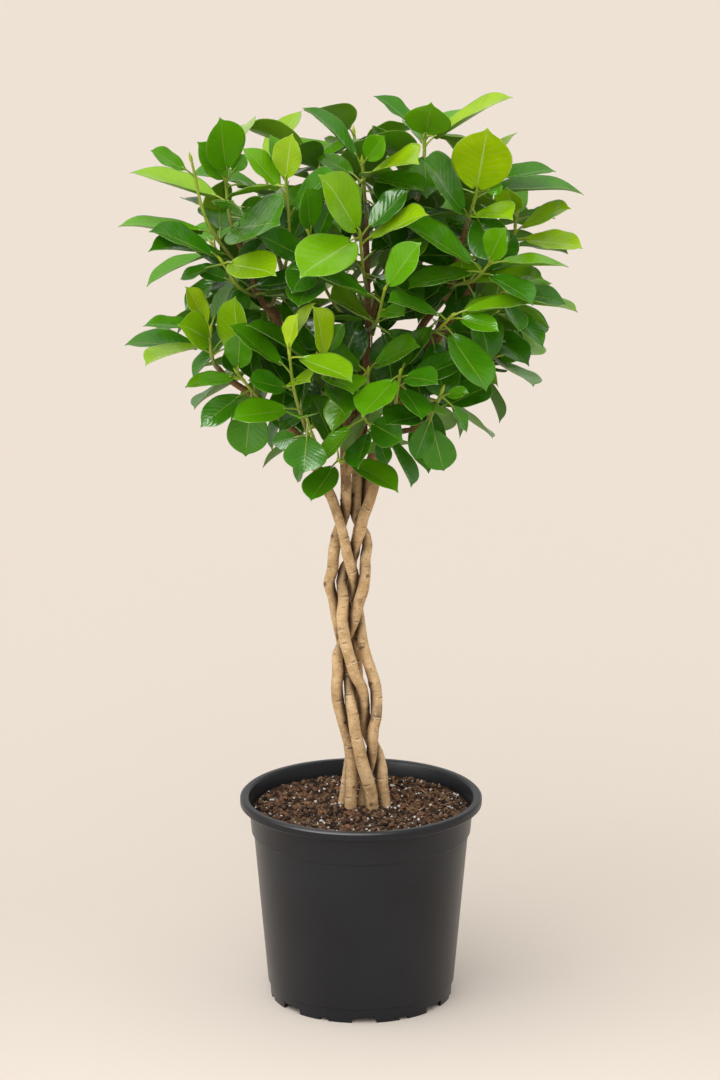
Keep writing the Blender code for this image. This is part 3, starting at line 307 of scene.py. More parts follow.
def settle_stems(paths, radii):
    """Push the stems apart wherever two of them would share room, until every pair is clear."""
    paths = [np.array(path, dtype=float) for path in paths]
    weights = []
    for path in paths:
        rows = (len(path) - 1) * SETTLE_SPLIT + 1
        weight = np.zeros((rows, len(path)))
        for row in range(rows):
            low = min(row // SETTLE_SPLIT, len(path) - 2)
            part = row / SETTLE_SPLIT - low
            weight[row, low], weight[row, low + 1] = 1 - part, part
        weights.append(weight)
    rings = [weight @ np.array(radius) for weight, radius in zip(weights, radii)]
    for _ in range(SETTLE_ROUNDS):
        fine = [weight @ path for weight, path in zip(weights, paths)]
        moves = [np.zeros_like(points) for points in fine]
        for one in range(len(paths)):
            for two in range(len(paths)):
                if one == two:
                    continue
                apart = fine[one][:, None] - fine[two][None]
                distance = np.maximum(np.linalg.norm(apart, axis=2), 1e-6)
                buried = fine[one][:, 2] < SOIL_PEAK
                clear = np.where(buried, 2 * GAP + HOLE_WALL, STEM_CLEARANCE)
                short = rings[one][:, None] + rings[two][None] + clear[:, None] - distance
                worst = short.argmax(axis=1)
                rows = np.arange(len(worst))
                push = np.clip(short[rows, worst], 0, None)
                away = apart[rows, worst] / distance[rows, worst][:, None]
                away[:, 2] *= SETTLE_RISE
                moves[one] += SETTLE_PUSH * push[:, None] * away
        for path, weight, move in zip(paths, weights, moves):
            path += SETTLE_EASE * (weight.T @ move) / weight.sum(axis=0)[:, None]
    return [[Vector(point) for point in path] for path in paths]


def lay_out_wood():
    """Every stem and limb as a path with a radius at each point."""
    names = list(STEMS)
    paths = [smooth_path([vec(point) for point in STEMS[name][2]], STEM_SPACING) for name in names]
    radii = []
    for name, path in zip(names, paths):
        foot, tip, _ = STEMS[name]
        fork = next(index for index, point in enumerate(path) if point.z > FORK_HEIGHT)
        slim = foot * FORK_GIRTH
        radii.append([r * MM for r in taper(foot, slim, fork) + taper(slim, tip, len(path) - fork)])
    paths = settle_stems(paths, radii)
    wood = {name: (path, radius) for name, path, radius in zip(names, paths, radii)}
    for name, (_, foot, tip, points) in LIMBS.items():
        path = smooth_path([vec(point) for point in points], LIMB_SPACING)
        wood[name] = (path, taper(foot * MM, tip * MM, len(path)))
    return wood


def nearest(path, radii, point):
    """The closest place on a path: its position, direction and radius, and whether it is the path's end."""
    best = None
    for index in range(len(path) - 1):
        span = path[index + 1] - path[index]
        part = min(max((point - path[index]).dot(span) / span.length_squared, 0), 1)
        spot = path[index] + span * part
        if best is None or (spot - point).length < best[0]:
            radius = radii[index] + (radii[index + 1] - radii[index]) * part
            last = index == len(path) - 2 and part == 1
            best = ((spot - point).length, spot, span.normalized(), radius, last)
    return best[1:]


def lay_out_twig(wood, limb, foot, tip):
    """A shoot's own stem: square off its limb's side, or on from its end, then bowed to its tip and bud."""
    path, radii = wood[limb]
    spot, along, radius, at_end = nearest(path, radii, vec(foot))
    tip = vec(tip)
    if at_end:
        out, start = along, spot + along * GAP
    else:
        out = (tip - spot) - (tip - spot).project(along)
        out.normalize()
        start = spot + out * (radius + GAP)
    stub = start + out * TWIG_STUB
    reach = (tip - stub).length
    bow = stub.lerp(tip, 0.5) + out * reach * TWIG_BOW - Vector((0, 0, reach * TWIG_SAG))
    rise = (tip - bow).normalized()
    points = [start] + smooth_path([stub, bow, tip], max(reach / 2, TWIG_SPACING))
    sizes = taper(TWIG_FOOT_RADIUS, TWIG_TIP_RADIUS, len(points))
    points.append(tip + rise * BUD_LENGTH)
    sizes.append(BUD_POINT)
    return points, sizes


def along_path(path, fraction):
    """A point at a fraction of a path's length, and the direction there."""
    lengths = [(end - start).length for start, end in zip(path, path[1:])]
    target = fraction * sum(lengths)
    for start, end, length in zip(path, path[1:], lengths):
        if target <= length:
            return start.lerp(end, target / length), (end - start).normalized()
        target -= length
    return path[-1].copy(), (path[-1] - path[-2]).normalized()


def leaf_normal(base, tip, roll, seen=None):
    """The upper side of a leaf: turned to the light, or so that a share of its breadth is seen in front.

    A share below 0 shows the underside. roll turns the leaf about its rib.
    """
    axis = (tip - base).normalized()
    if seen is None:
        outward = (base.lerp(tip, 0.6) - CROWN_CENTRE).normalized()
        light = Vector((0, 0, 1)) + outward * LIGHT_LEAN
        normal = (light - light.project(axis)).normalized()
    else:
        sight = (SEEN_FROM - tip).normalized()
        level = axis.cross(sight).normalized()
        face = level.cross(axis)
        tilt = math.acos(min(abs(seen), 1))
        level *= math.copysign(math.sin(tilt), level.z)
        normal = face * math.copysign(math.cos(tilt), seen) + level
    return Matrix.Rotation(math.radians(roll), 3, axis) @ normal


# Corners of a leaf: the stalk's root 0-2 and end 3-5, both three-sided, then the low station with its upper
# face 6-8 and lower face 9-11, the high station with 12-13 and 14-15, and the tip 16.
STALK_FACES = [(0, 2, 1), (0, 1, 4), (0, 4, 3), (0, 3, 5), (0, 5, 2), (1, 2, 5), (1, 5, 4)]
BLADE_FACES = [
    (3, 4, 7), (3, 7, 6), (4, 8, 7), (5, 9, 10), (5, 10, 11), (3, 6, 9), (3, 9, 5), (4, 11, 8), (4, 5, 11),
    (6, 7, 12), (7, 13, 12), (7, 8, 13), (9, 14, 10), (10, 14, 15), (10, 15, 11),
    (6, 12, 14), (6, 14, 9), (8, 15, 13), (8, 11, 15),
    (12, 13, 16), (14, 16, 15), (12, 16, 14), (13, 15, 16),
]


def leaf_corners(leaf, room=0.0):
    """The corner points of one leaf, from root to tip, thickened and widened by `room`."""
    base = leaf["base"]
    length = (leaf["tip"] - base).length
    axis = (leaf["tip"] - base) / length
    normal = leaf["normal"]
    side = axis.cross(normal)
    stalk = PETIOLE / length
    half = leaf["width"] / 2 + room
    thick = LEAF_THICKNESS / 2 + room

    def station(t, across, height):
        """A point at `t` along the arched rib, off to the side and above or below the leaf's middle."""
        up = (normal - axis * (leaf["arch"] * 4 * (1 - 2 * t))).normalized()
        rise = leaf["arch"] * length * 4 * t * (1 - t)
        return base + axis * (length * t) + normal * rise + side * across + up * height

    corners = []
    wide, tall = STALK_SIZE / 2 + room, STALK_SIZE / 3 + room
    for t in (0.0, stalk):
        corners += [station(t, -wide, tall), station(t, wide, tall), station(t, 0, -wide)]
    low, wide = stalk + (1 - stalk) * BROAD_LOW, half * BROAD_SHARE
    for depth in (thick, -thick):
        corners += [station(low, -wide, depth), station(low, 0, depth - LEAF_FOLD * half),
                    station(low, wide, depth)]
    high = stalk + (1 - stalk) * BROAD_HIGH
    for depth in (thick, -thick):
        corners += [station(high, -wide, depth), station(high, wide, depth)]
    return corners + [station(1 + room / length, 0, 0)]


def ring_faces(rings, sides, start=0):
    """Four-sided faces between rings of points that follow one another."""
    faces = []
    for ring in range(rings - 1):
        for side in range(sides):
            a, b = start + ring * sides + side, start + ring * sides + (side + 1) % sides
            faces.append((a, b, b + sides, a + sides))
    return faces


def tube_mesh(path, radii, sides=6):
    """Corner points and triangles of a plain tube, used to keep leaves clear of wood."""
    verts, faces = [], []
    for index, (point, radius) in enumerate(zip(path, radii)):
        ahead = path[min(index + 1, len(path) - 1)] - path[max(index - 1, 0)]
        if index == 0:
            across = ahead.orthogonal().normalized()
        else:
            across = (across - across.project(ahead)).normalized()
        up = ahead.normalized().cross(across)
        for side in range(sides):
            angle = math.tau * side / sides
            verts.append(point + (across * math.cos(angle) + up * math.sin(angle)) * radius)
    for a, b, c, d in ring_faces(len(path), sides):
        faces += [(a, b, c), (a, c, d)]
    return verts, faces


class Room:
    """Remembers the space that is taken, and says if a new solid would meet it."""

    def __init__(self):
        self.taken = []

    def solid(self, verts, faces):
        low, high = (Vector([pick(v[k] for v in verts) for k in range(3)]) for pick in (min, max))
        return low, high, BVHTree.FromPolygons(verts, faces)

    def free(self, verts, faces, ignore=()):
        low, high, tree = self.solid(verts, faces)
        for name, (other_low, other_high, other) in self.taken:
            if name in ignore or any(low[k] > other_high[k] or high[k] < other_low[k] for k in range(3)):
                continue
            if tree.overlap(other):
                return False
        return True

    def take(self, name, verts, faces):
        self.taken.append((name, self.solid(verts, faces)))


def inside_crown(point):
    offset = point - CROWN_CENTRE
    across, deep, tall = (offset[k] / CROWN_RADII[k] for k in range(3))
    share = (point.z - CROWN_FLOOR) / (CROWN_SHOULDER - CROWN_FLOOR)
    breadth = CROWN_FOOT + (1 - CROWN_FOOT) * min(share, 1)
    return share > 0 and math.hypot(across, deep) < breadth and math.hypot(across, deep, tall) < 1


def well_inside(point):
    """Whether a point lies within the inner part of the head."""
    return inside_crown(CROWN_CENTRE + (point - CROWN_CENTRE) / INNER_HEAD)


# Ways to nudge a leaf that would meet another: swing, lift and roll in degrees, then its length.
NUDGES = [
    (0, 0, 0, 1.0), (0, 0, 22, 1.0), (0, 0, -22, 1.0), (9, 0, 0, 1.0), (-9, 0, 0, 1.0), (0, 9, 0, 1.0),
    (0, -9, 0, 1.0), (14, 8, 15, 0.95), (-14, 8, -15, 0.95), (14, -8, -15, 0.95), (-14, -8, 15, 0.95),
    (0, 16, 0, 0.92), (0, -16, 0, 0.92), (22, 0, 20, 0.9), (-22, 0, -20, 0.9), (0, 24, 30, 0.88),
    (0, -24, -30, 0.88), (30, 12, 0, 0.86), (-30, 12, 0, 0.86), (30, -12, 0, 0.86), (-30, -12, 0, 0.86),
    (0, 0, 45, 0.85), (0, 0, -45, 0.85), (40, 0, 40, 0.8), (-40, 0, -40, 0.8), (0, 35, 0, 0.8),
    (0, -35, 0, 0.8), (50, 20, 0, 0.75), (-50, 20, 0, 0.75), (60, -20, 30, 0.72), (-60, -20, -30, 0.72),
]
# Other places for a leaf of the table: along its shoot, and nearer on its line of sight.
SLIDES = (0, 0.1, -0.1, 0.2, -0.2)
SHIFTS = tuple(shift * MM for shift in (0, 7, -7, 14, -14, 22, -22, 30, -30))


def turned(vector, degrees, axis):
    return Matrix.Rotation(math.radians(degrees), 3, axis) @ vector


def nudged(leaf, twig_direction, nudge):
    """A copy of a leaf, swung about its shoot, lifted, rolled and shortened."""
    swing, lift, roll, scale = nudge
    axis = turned(leaf["tip"] - leaf["base"], swing, twig_direction)
    level = axis.cross(Vector((0, 0, 1)))
    if level.length > 1e-6:
        axis = turned(axis, lift, level.normalized())
    tip = leaf["base"] + axis * scale
    return leaf | {"tip": tip, "width": leaf["width"] * (1 + scale) / 2,
                   "normal": leaf_normal(leaf["base"], tip, leaf["roll"] + roll, leaf["seen"])}


def place_leaf(room, name, shoot, trials, fits=None):
    """Gives the shoot the first trial that keeps clear of all that stands already, if one does.

    Stalks may meet within a shoot, where they are fused.
    """
    stalk, blade = name + " stalk", name + " blade"
    for trial in trials:
        if fits and not fits(trial["tip"]):
            continue
        corners = leaf_corners(trial, ROOM)
        if not room.free(corners, BLADE_FACES, (stalk,)):
            continue
        if room.free(corners, STALK_FACES, (name, stalk, blade)):
            room.take(stalk, corners, STALK_FACES)
            room.take(blade, corners, BLADE_FACES)
            shoot["leaves"].append(trial)
            return


def new_leaf(base, tip, roll, width, arch, seen=None, youth=None):
    """All that says where a leaf lies. seen is its seen share of breadth, and youth its age where given."""
    return {"base": base, "tip": tip, "roll": roll, "width": width, "arch": arch, "seen": seen,
            "youth": youth, "normal": leaf_normal(base, tip, roll, seen)}


def drawn_leaf(draw, base, axis, length, roll):
    """A leaf along an axis, with its breadth and arch drawn."""
    return new_leaf(base, base + axis * length, roll, (length - PETIOLE) * draw.uniform(*LEAF_SLIMNESS),
                    draw.uniform(*LEAF_ARCH))


def seen_trials(draw, twig, row):
    """A leaf from the table of the front shoots, turned so that its seen breadth is the table's.

    Then the same leaf nearer or farther on its line of sight and from higher or lower on its shoot.
    """
    fraction, x, y, z, breadth, youth = row
    slimness, arch = draw.uniform(*LEAF_SLIMNESS), draw.uniform(*LEAF_ARCH)
    lowest, highest = SHOOT_ENDS
    trials = []
    for slide in SLIDES:
        base, ahead = along_path(twig[:-1], min(max(fraction + slide, lowest), highest))
        for shift in SHIFTS:
            tip = vec((x, y, z))
            tip += (SEEN_FROM - tip).normalized() * shift
            width = max(abs(breadth) * MM, ((tip - base).length - PETIOLE) * slimness)
            trials.append(new_leaf(base, tip, 0, width, arch, breadth * MM / width, youth))
    return trials + [nudged(trials[0], ahead, nudge) for nudge in NUDGES[1:]]


def rule_trials(draw, twig, number, count):
    """Leaf `number` of a shoot's spiral and its nudges: lower ones stand out more, and all droop a little."""
    base, ahead = along_path(twig[:-1], RULE_FIRST + RULE_SPAN * number / max(count - 1, 1))
    across = ahead.orthogonal().normalized()
    spread = math.radians(RULE_SPREAD - RULE_CLOSING * number / count + draw.uniform(-8, 8))
    out = Matrix.Rotation(draw.phase + TURN * number, 3, ahead) @ across
    axis = (ahead * math.cos(spread) + out * math.sin(spread)).normalized()
    axis = (axis - Vector((0, 0, RULE_DROOP))).normalized()
    leaf = drawn_leaf(draw, base, axis, draw.uniform(*LEAF_LENGTHS), draw.uniform(-25, 25))
    return [nudged(leaf, along_path(twig, 0.7)[1], nudge) for nudge in NUDGES]


def hanging_leaf(draw, twig):
    """A leaf from anywhere along a shoot, which hangs lower than those set by rule."""
    base, ahead = along_path(twig[:-1], draw.uniform(0.1, 0.85))
    out = Matrix.Rotation(draw.uniform(0, math.tau), 3, ahead) @ ahead.orthogonal().normalized()
    axis = (ahead * draw.uniform(0, 0.5) + out - Vector((0, 0, draw.uniform(0, 0.6)))).normalized()
    length = draw.uniform(0.8, 1) * draw.uniform(*LEAF_LENGTHS)
    return drawn_leaf(draw, base, axis, length, draw.uniform(-30, 30))


def lay_out_plant():
    """The wood, then each shoot's twig and leaves, placed one after another in the room that is left.

    Last come further leaves for the inner part of the head, where there is room for them.
    """
    wood = lay_out_wood()
    room = Room()
    for name, (path, radii) in wood.items():
        room.take(name, *tube_mesh(path, [radius + ROOM for radius in radii]))
    shoots, draws = {}, {}
    for number, (name, row) in enumerate((FRONT_SHOOTS | ROUND_SHOOTS).items()):
        twig, sizes = lay_out_twig(wood, *row[:3])
        shoots[name] = {"twig": twig, "sizes": sizes, "leaves": []}
        room.take(name, *tube_mesh(twig[1:], [size + ROOM for size in sizes[1:]]))
        draws[name] = random.Random(SEED + number)
        draws[name].phase = draws[name].uniform(0, math.tau)
    for name, (_, _, _, rows) in FRONT_SHOOTS.items():
        for row in rows:
            place_leaf(room, name, shoots[name], seen_trials(draws[name], shoots[name]["twig"], row))
    counts = {name: row[3] for name, row in ROUND_SHOOTS.items()} | dict.fromkeys(FRONT_SHOOTS, FILL_LEAVES)
    for name, count in counts.items():
        for number in range(count):
            trials = rule_trials(draws[name], shoots[name]["twig"], number, count)
            place_leaf(room, name, shoots[name], trials, inside_crown)
    for number, (name, shoot) in enumerate(shoots.items()):
        draw = random.Random(MORE_SEED + number)
        for _ in range(MORE_LEAVES):
            trials = [hanging_leaf(draw, shoot["twig"]) for _ in range(LEAF_TRIALS)]
            place_leaf(room, name, shoot, trials, well_inside)
    return wood, shoots


# The picture is 720 x 1080 with its long side on the sensor, and the plant stands on the pot's foot.
CAMERA_LENS, CAMERA_SENSOR = 132.8, 36
CAMERA_TILT = math.radians(14.7)
CAMERA_PLACE = Vector((-0.9 * MM, -3291 * MM, 1272.7 * MM))

FLOOR_REACH = 60.0
# The floor's lighter pool is a painted pool of light.
PAINTED_LIGHT_POOL = (0, -0.5, 0)  # the middle of the floor's lighter pool
SKY_COLOUR = (1.0, 0.98, 0.945, 1.0)
SKY_STRENGTH = 0.74
# Name, direction it comes from, angle in degrees, strength and colour of each sun.
SUNS = [
    ("side_sun", (-1.9, -0.3, 3.3), 45, 0.42, (1.0, 0.985, 0.96)),
    ("top_sun", (-0.3, -0.4, 3.0), 100, 0.50, (1.0, 0.985, 0.965)),
    ("front_sun", (-1.2, -3.0, 2.4), 60, 0.90, (1.0, 0.985, 0.965)),
    ("gloss_sun_left", (-2.6, -1.8, 2.8), 38, 5.0, (1.0, 0.99, 0.98)),
    ("gloss_sun_top", (-0.3, -1.2, 2.0), 40, 3.4, (1.0, 0.99, 0.98)),
]

# Fine leaf: points along and across the blade and how much they crowd to its ends, and its real thickness.
ALONG, ACROSS = 20, 13
ALONG_CROWDING, ACROSS_CROWDING = 0.6, 0.55
FINE_THICKNESS = 0.5 * MM
EDGE_THINNING = 0.55
WIDEST = 0.56  # where along the blade it is broadest
FOOT_CURVE, FOOT_ROUNDING, TIP_CURVE = 1.9, 0.72, 2.3  # powers of the outline towards its foot and tip
TIP_TAPER = (0.64, 0.96)  # how sharply a blade ends, from the least to the most arched
DRIP_START, DRIP_BREADTH = 0.955, 0.11
LEAST_BREADTH = 0.012
WAVE = (0.3 * MM, 1.0 * MM)
WAVE_COUNT = (1.6, 2.6)  # waves along each edge
RIB_HEIGHT, RIB_BREADTH = 0.45 * MM, 0.07
TIP_HOOK, HOOK_START = 0.045, 0.7  # how far the tip hooks down, as a share of the leaf, and from where
FINE_FOLD = 0.30  # how deep the fine blade is folded along its rib, as a share of its half width
STALK_RADII = np.array([1.25, 0.95, 0.82, 0.78, 0.8, 0.78, 0.45]) * MM
STALK_REACH = 1.35  # a stalk ends a little way under the blade
STALK_SIDES, TWIG_SIDES = 8, 9
STALK_FOLD = 0.3  # how much of the blade's fold the end of a stalk follows
TWIG_FINENESS = 2.5 * MM  # how far apart a twig's rings lie
TWIG_SINK = 1.2 * MM  # into the limb
TWIG_GIRTH = 0.86  # of the fine twig, against its solid's
TWIG_FLARE = np.array([0.8, 0.4, 0.15]) * MM  # at its foot
NODE_SWELL, NODE_REACH = 0.35 * MM, 1.6 * MM  # where a leaf grows
BUD_RADII = 1.25 * MM * np.array([0.95, 1.1, 1.22, 1.2, 1.05, 0.84, 0.58, 0.3, 0.06])
YOUNG_REACH = 26 * MM  # leaves nearer than this to their shoot's tip look younger
RULE_YOUTH = 0.75  # the most for a leaf whose youth isn't in the table
SHOOT_SEED, STEM_SEED = 900, 300

# Bark: the ring scars' lips and the grooves beside them, and how much slimmer the wood is under its relief.
SCAR_BREADTH, GROOVE_OFFSET, GROOVE_BREADTH = 0.9 * MM, 1.6 * MM, 0.7 * MM
FIRST_SCAR, SCAR_SPACING, SCAR_HEIGHT = (4, 14), (10, 24), (0.25, 0.55)  # drawn, in mm
KNOT_SPACING = 30 * MM
KNOT_SIZE, KNOT_HEIGHT = (1.8, 3.4), (0.6, 1.3)  # drawn, in mm
FLUTE_DEPTH, FLUTE_LENGTH = 0.15 * MM, 23 * MM
GRAIN_DEPTH, GRAIN_LENGTH = 0.2 * MM, 6 * MM
BARK_GIRTH = 0.97
STEM_FINENESS, LIMB_FINENESS = (24, 1.5 * MM), (14, 2.5 * MM)  # sides, and how far apart the rings lie
SHADE_REACH = 3.6 * MM  # how far from other wood the shade between stems fades
FOOT_POINT = 3  # the point of a stem's path that lies at the soil's surface


def new_object(name, data):
    """Puts a mesh, a camera or a light in the scene."""
    item = bpy.data.objects.new(name, data)
    bpy.context.scene.collection.objects.link(item)
    return item


def new_mesh_object(name, verts, faces, materials, indices=None, **attributes):
    """A smooth-shaded mesh object with material slots and per-point vectors for its materials."""
    mesh = bpy.data.meshes.new(name)
    mesh.from_pydata(np.asarray(verts).tolist(), [], faces)
    for material in materials:
        mesh.materials.append(material)
    if indices is not None:
        mesh.polygons.foreach_set("material_index", indices)
    for key, values in attributes.items():
        layer = mesh.attributes.new(key, "FLOAT_VECTOR", "POINT")
        layer.data.foreach_set("vector", np.asarray(values, dtype=np.float32).ravel())
    mesh.shade_smooth()
    mesh.update()
    return new_object(name, mesh)


def dress(item, slot, *nodes):
    """The piece rides with the plant and stands for its solids. The slot argument is not used."""
    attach(item, "root")
    if nodes:
        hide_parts(*nodes)


class Builder:
    """Gathers closed shapes, each given as points, faces and places, into one mesh."""

    def __init__(self):
        self.verts, self.faces, self.indices, self.place, self.tone = [], [], [], [], []
        self.count = 0

    def add(self, shape, index, tone):
        """Adds a shape with its material's index, and with a tone for it all or for each of its points."""
        verts, faces, place = shape
        self.verts.append(verts)
        self.faces += [tuple(corner + self.count for corner in face) for face in faces]
        self.indices += [index] * len(faces)
        self.place.append(place)
        self.tone.append(np.broadcast_to(tone, (len(verts), 3)))
        self.count += len(verts)

    def make(self, name, materials):
        return new_mesh_object(name, np.vstack(self.verts), self.faces, materials, self.indices,
                               place=np.vstack(self.place), tone=np.vstack(self.tone))


def blade_breadth(v, taper):
    """Half the blade's breadth along it, as a share of the widest: an egg shape with a short drip tip."""
    lower = np.clip((WIDEST - v) / WIDEST, 0, 1)
    upper = np.clip((v - WIDEST) / (DRIP_START - WIDEST), 0, 1)
    foot, tip = (1 - lower ** FOOT_CURVE) ** FOOT_ROUNDING, (1 - upper ** TIP_CURVE) ** taper
    drip = DRIP_BREADTH * np.clip((1 - v) / (1 - DRIP_START), 0, 1.4)
    return np.maximum(np.maximum(np.where(v < WIDEST, foot, tip), drip), LEAST_BREADTH)


def crowded(count, share):
    """Numbers from -1 to 1 that crowd towards both ends by a share."""
    even = np.linspace(-1, 1, count)
    return np.sin(even * math.pi / 2) * share + even * (1 - share)


def leaf_axes(leaf):
    """A leaf's base, upper side, direction and length."""
    base, normal = np.array(leaf["base"]), np.array(leaf["normal"])
    run = np.array(leaf["tip"]) - base
    length = np.linalg.norm(run)
    return base, normal, run / length, length


def rib_points(leaf, t, drop=0.0):
    """Points on a leaf's arched rib, at shares `t` of its length and let down by `drop`."""
    base, normal, axis, length = leaf_axes(leaf)
    rise = leaf["arch"] * length * 4 * t * (1 - t) - drop
    return base + axis * (length * t)[..., None] + normal * rise[..., None]


def fine_leaf(leaf, draw):
    """The leaf's blade as a thin closed sheet, with its place across, along and under at every point."""
    _, normal, axis, length = leaf_axes(leaf)
    stalk, half = PETIOLE / length, leaf["width"] / 2
    vv, uu = np.meshgrid((1 + crowded(ALONG, ALONG_CROWDING)) / 2, crowded(ACROSS, ACROSS_CROWDING),
                         indexing="ij")
    t = stalk + (1 - stalk) * vv
    up = normal - axis * (leaf["arch"] * 4 * (1 - 2 * t))[..., None]
    up /= np.linalg.norm(up, axis=2)[..., None]
    out = np.abs(uu)
    taper = np.interp(leaf["arch"], LEAF_ARCH, TIP_TAPER)
    breadth = np.maximum(blade_breadth(vv, taper) * half, STALK_SIZE * 0.42 * (1 - vv))
    fold = FINE_FOLD * half * np.sin(np.clip(vv * 0.9 + 0.12, 0, 1) * math.pi) ** 0.8
    wave = draw.uniform(*WAVE) * np.sin(vv * math.tau * draw.uniform(*WAVE_COUNT) + draw.uniform(0, math.tau)
                                        + np.sign(uu) * draw.uniform(0.3, 1.2)) * out ** 2.5
    wave *= np.sin(vv * math.pi)
    hook = TIP_HOOK * length * np.clip((vv - HOOK_START) / (1 - HOOK_START), 0, 1) ** 2
    lift = -fold * (1 - out ** 1.35) + wave - hook
    rib = np.exp(-(out / RIB_BREADTH) ** 2) * (1 - vv) ** 0.7
    flat = rib_points(leaf, t) + np.cross(axis, normal) * (breadth * uu)[..., None] + up * lift[..., None]
    thick = FINE_THICKNESS / 2 * (1 - EDGE_THINNING * out ** 6)
    top = flat + up * (thick - 0.25 * RIB_HEIGHT * rib)[..., None]
    bottom = flat - up * (thick + RIB_HEIGHT * rib)[..., None]
    size = ALONG * ACROSS
    grid = np.arange(size).reshape(ALONG, ACROSS)
    corners = grid[:-1, :-1], grid[:-1, 1:], grid[1:, 1:], grid[1:, :-1]
    faces = list(zip(*(corner.ravel().tolist() for corner in corners)))
    faces += [(d + size, c + size, b + size, a + size) for a, b, c, d in faces]
    rim = np.concatenate([grid[:-1, 0], grid[-1, :-1], grid[:0:-1, -1], grid[0, :0:-1]]).tolist()
    faces += [(a, b, b + size, a + size) for a, b in zip(rim, rim[1:] + rim[:1])]
    place = [np.stack([uu, vv, np.full_like(uu, under)], axis=2).reshape(-1, 3) for under in (0, 1)]
    return np.vstack([top.reshape(-1, 3), bottom.reshape(-1, 3)]), faces, np.vstack(place)


def frames_along(points):
    """Two directions square to the path at each point, carried along it without twist."""
    tangents = np.gradient(points, axis=0)
    tangents /= np.linalg.norm(tangents, axis=1)[:, None]
    across = np.zeros_like(points)
    seed = np.array([1.0, 0, 0]) if abs(tangents[0][0]) < 0.8 else np.array([0, 1.0, 0])
    for index, tangent in enumerate(tangents):
        seed = seed - tangent * seed.dot(tangent)
        seed /= np.linalg.norm(seed)
        across[index] = seed
    return across, np.cross(tangents, across)


def path_lengths(points):
    """How far along the path each point lies."""
    return np.concatenate([[0], np.cumsum(np.linalg.norm(np.diff(points, axis=0), axis=1))])


def round_tube(points, radii, sides):
    """A closed tube as points, faces and places. radii is one number or one per side for each point."""
    points = np.asarray(points, dtype=float)
    across, up = frames_along(points)
    angles = np.linspace(0, math.tau, sides, endpoint=False)
    ring = across[:, None] * np.cos(angles)[None, :, None] + up[:, None] * np.sin(angles)[None, :, None]
    verts = points[:, None] + ring * np.reshape(radii, (len(points), -1, 1))
    count = len(points)
    faces = ring_faces(count, sides)
    faces += [tuple(reversed(range(sides))), tuple(range((count - 1) * sides, count * sides))]
    run = path_lengths(points)
    place = np.stack([np.tile(angles / math.tau, count), np.repeat(run / run[-1], sides),
                      np.repeat(run, sides)], axis=1)
    return verts.reshape(-1, 3), faces, place


def petiole(leaf):
    """The leaf's stalk: from inside the twig, up its bow and a little way under the blade."""
    stalk = PETIOLE / leaf_axes(leaf)[3]
    t = np.linspace(0, stalk * STALK_REACH, len(STALK_RADII))
    drop = FINE_FOLD * leaf["width"] / 2 * STALK_FOLD * np.clip(t / stalk - 0.8, 0, 1)
    return round_tube(rib_points(leaf, t, drop), STALK_RADII, STALK_SIDES)


def leaf_tone(leaf, shoot_tip, draw):
    """How young, how deep in the crown (which the leaf material darkens as painted shade), and a random
    shade.

    Where the table gives no youth, leaves near a shoot's tip and near the top are younger.
    """
    to_tip = (leaf["base"] - shoot_tip).length
    out = (leaf["tip"] - CROWN_CENTRE).length / CROWN_RADII[0]
    youth = 0.55 * max(0.0, 1 - to_tip / YOUNG_REACH) + draw.uniform(-0.15, 0.2)
    youth += 0.22 * (leaf["tip"].z - 0.62) / 0.17 + 0.25 * (out - 0.8)
    youth = min(max(youth, 0), RULE_YOUTH) if leaf["youth"] is None else leaf["youth"]
    return youth, min(max(1 - out, 0), 1), draw.random()


def make_shoots(shoots, materials):
    """Each shoot's twig, bud, leaf stalks and blades in one piece that stands for its solid."""
    for number, (name, shoot) in enumerate(shoots.items()):
        draw = random.Random(SHOOT_SEED + number)
        build = Builder()
        twig, sizes, leaves = shoot["twig"], shoot["sizes"], shoot["leaves"]
        foot = twig[0] + (twig[0] - twig[1]).normalized() * TWIG_SINK
        path = smooth_path([foot] + twig[1:-1], TWIG_FINENESS)
        radii = np.array(taper(sizes[0], sizes[-2], len(path))) * TWIG_GIRTH
        for index, point in enumerate(path):
            near = min([(point - leaf["base"]).length for leaf in leaves] or [1])
            radii[index] += NODE_SWELL * math.exp(-(near / NODE_REACH) ** 2)
        radii[:3] += TWIG_FLARE
        build.add(round_tube(path, radii, TWIG_SIDES), 1, (0, 0, draw.random()))
        tip, ahead = twig[-2], twig[-1] - twig[-2]
        bud = [tip + ahead * (share - 0.1) for share in np.linspace(0, 1, len(BUD_RADII))]
        build.add(round_tube(bud, BUD_RADII, STALK_SIDES), 2, (1, 0, draw.random()))
        for leaf in leaves:
            tone = leaf_tone(leaf, tip, draw)
            build.add(petiole(leaf), 2, tone)
            build.add(fine_leaf(leaf, draw), 0, tone)
        dress(build.make(name.replace("shoot", "leaves"), materials), "leaf", name)


def around(angles, middle):
    """How far round the stem each side lies from a middle, from -pi to pi."""
    return np.arctan2(np.sin(angles - middle), np.cos(angles - middle))


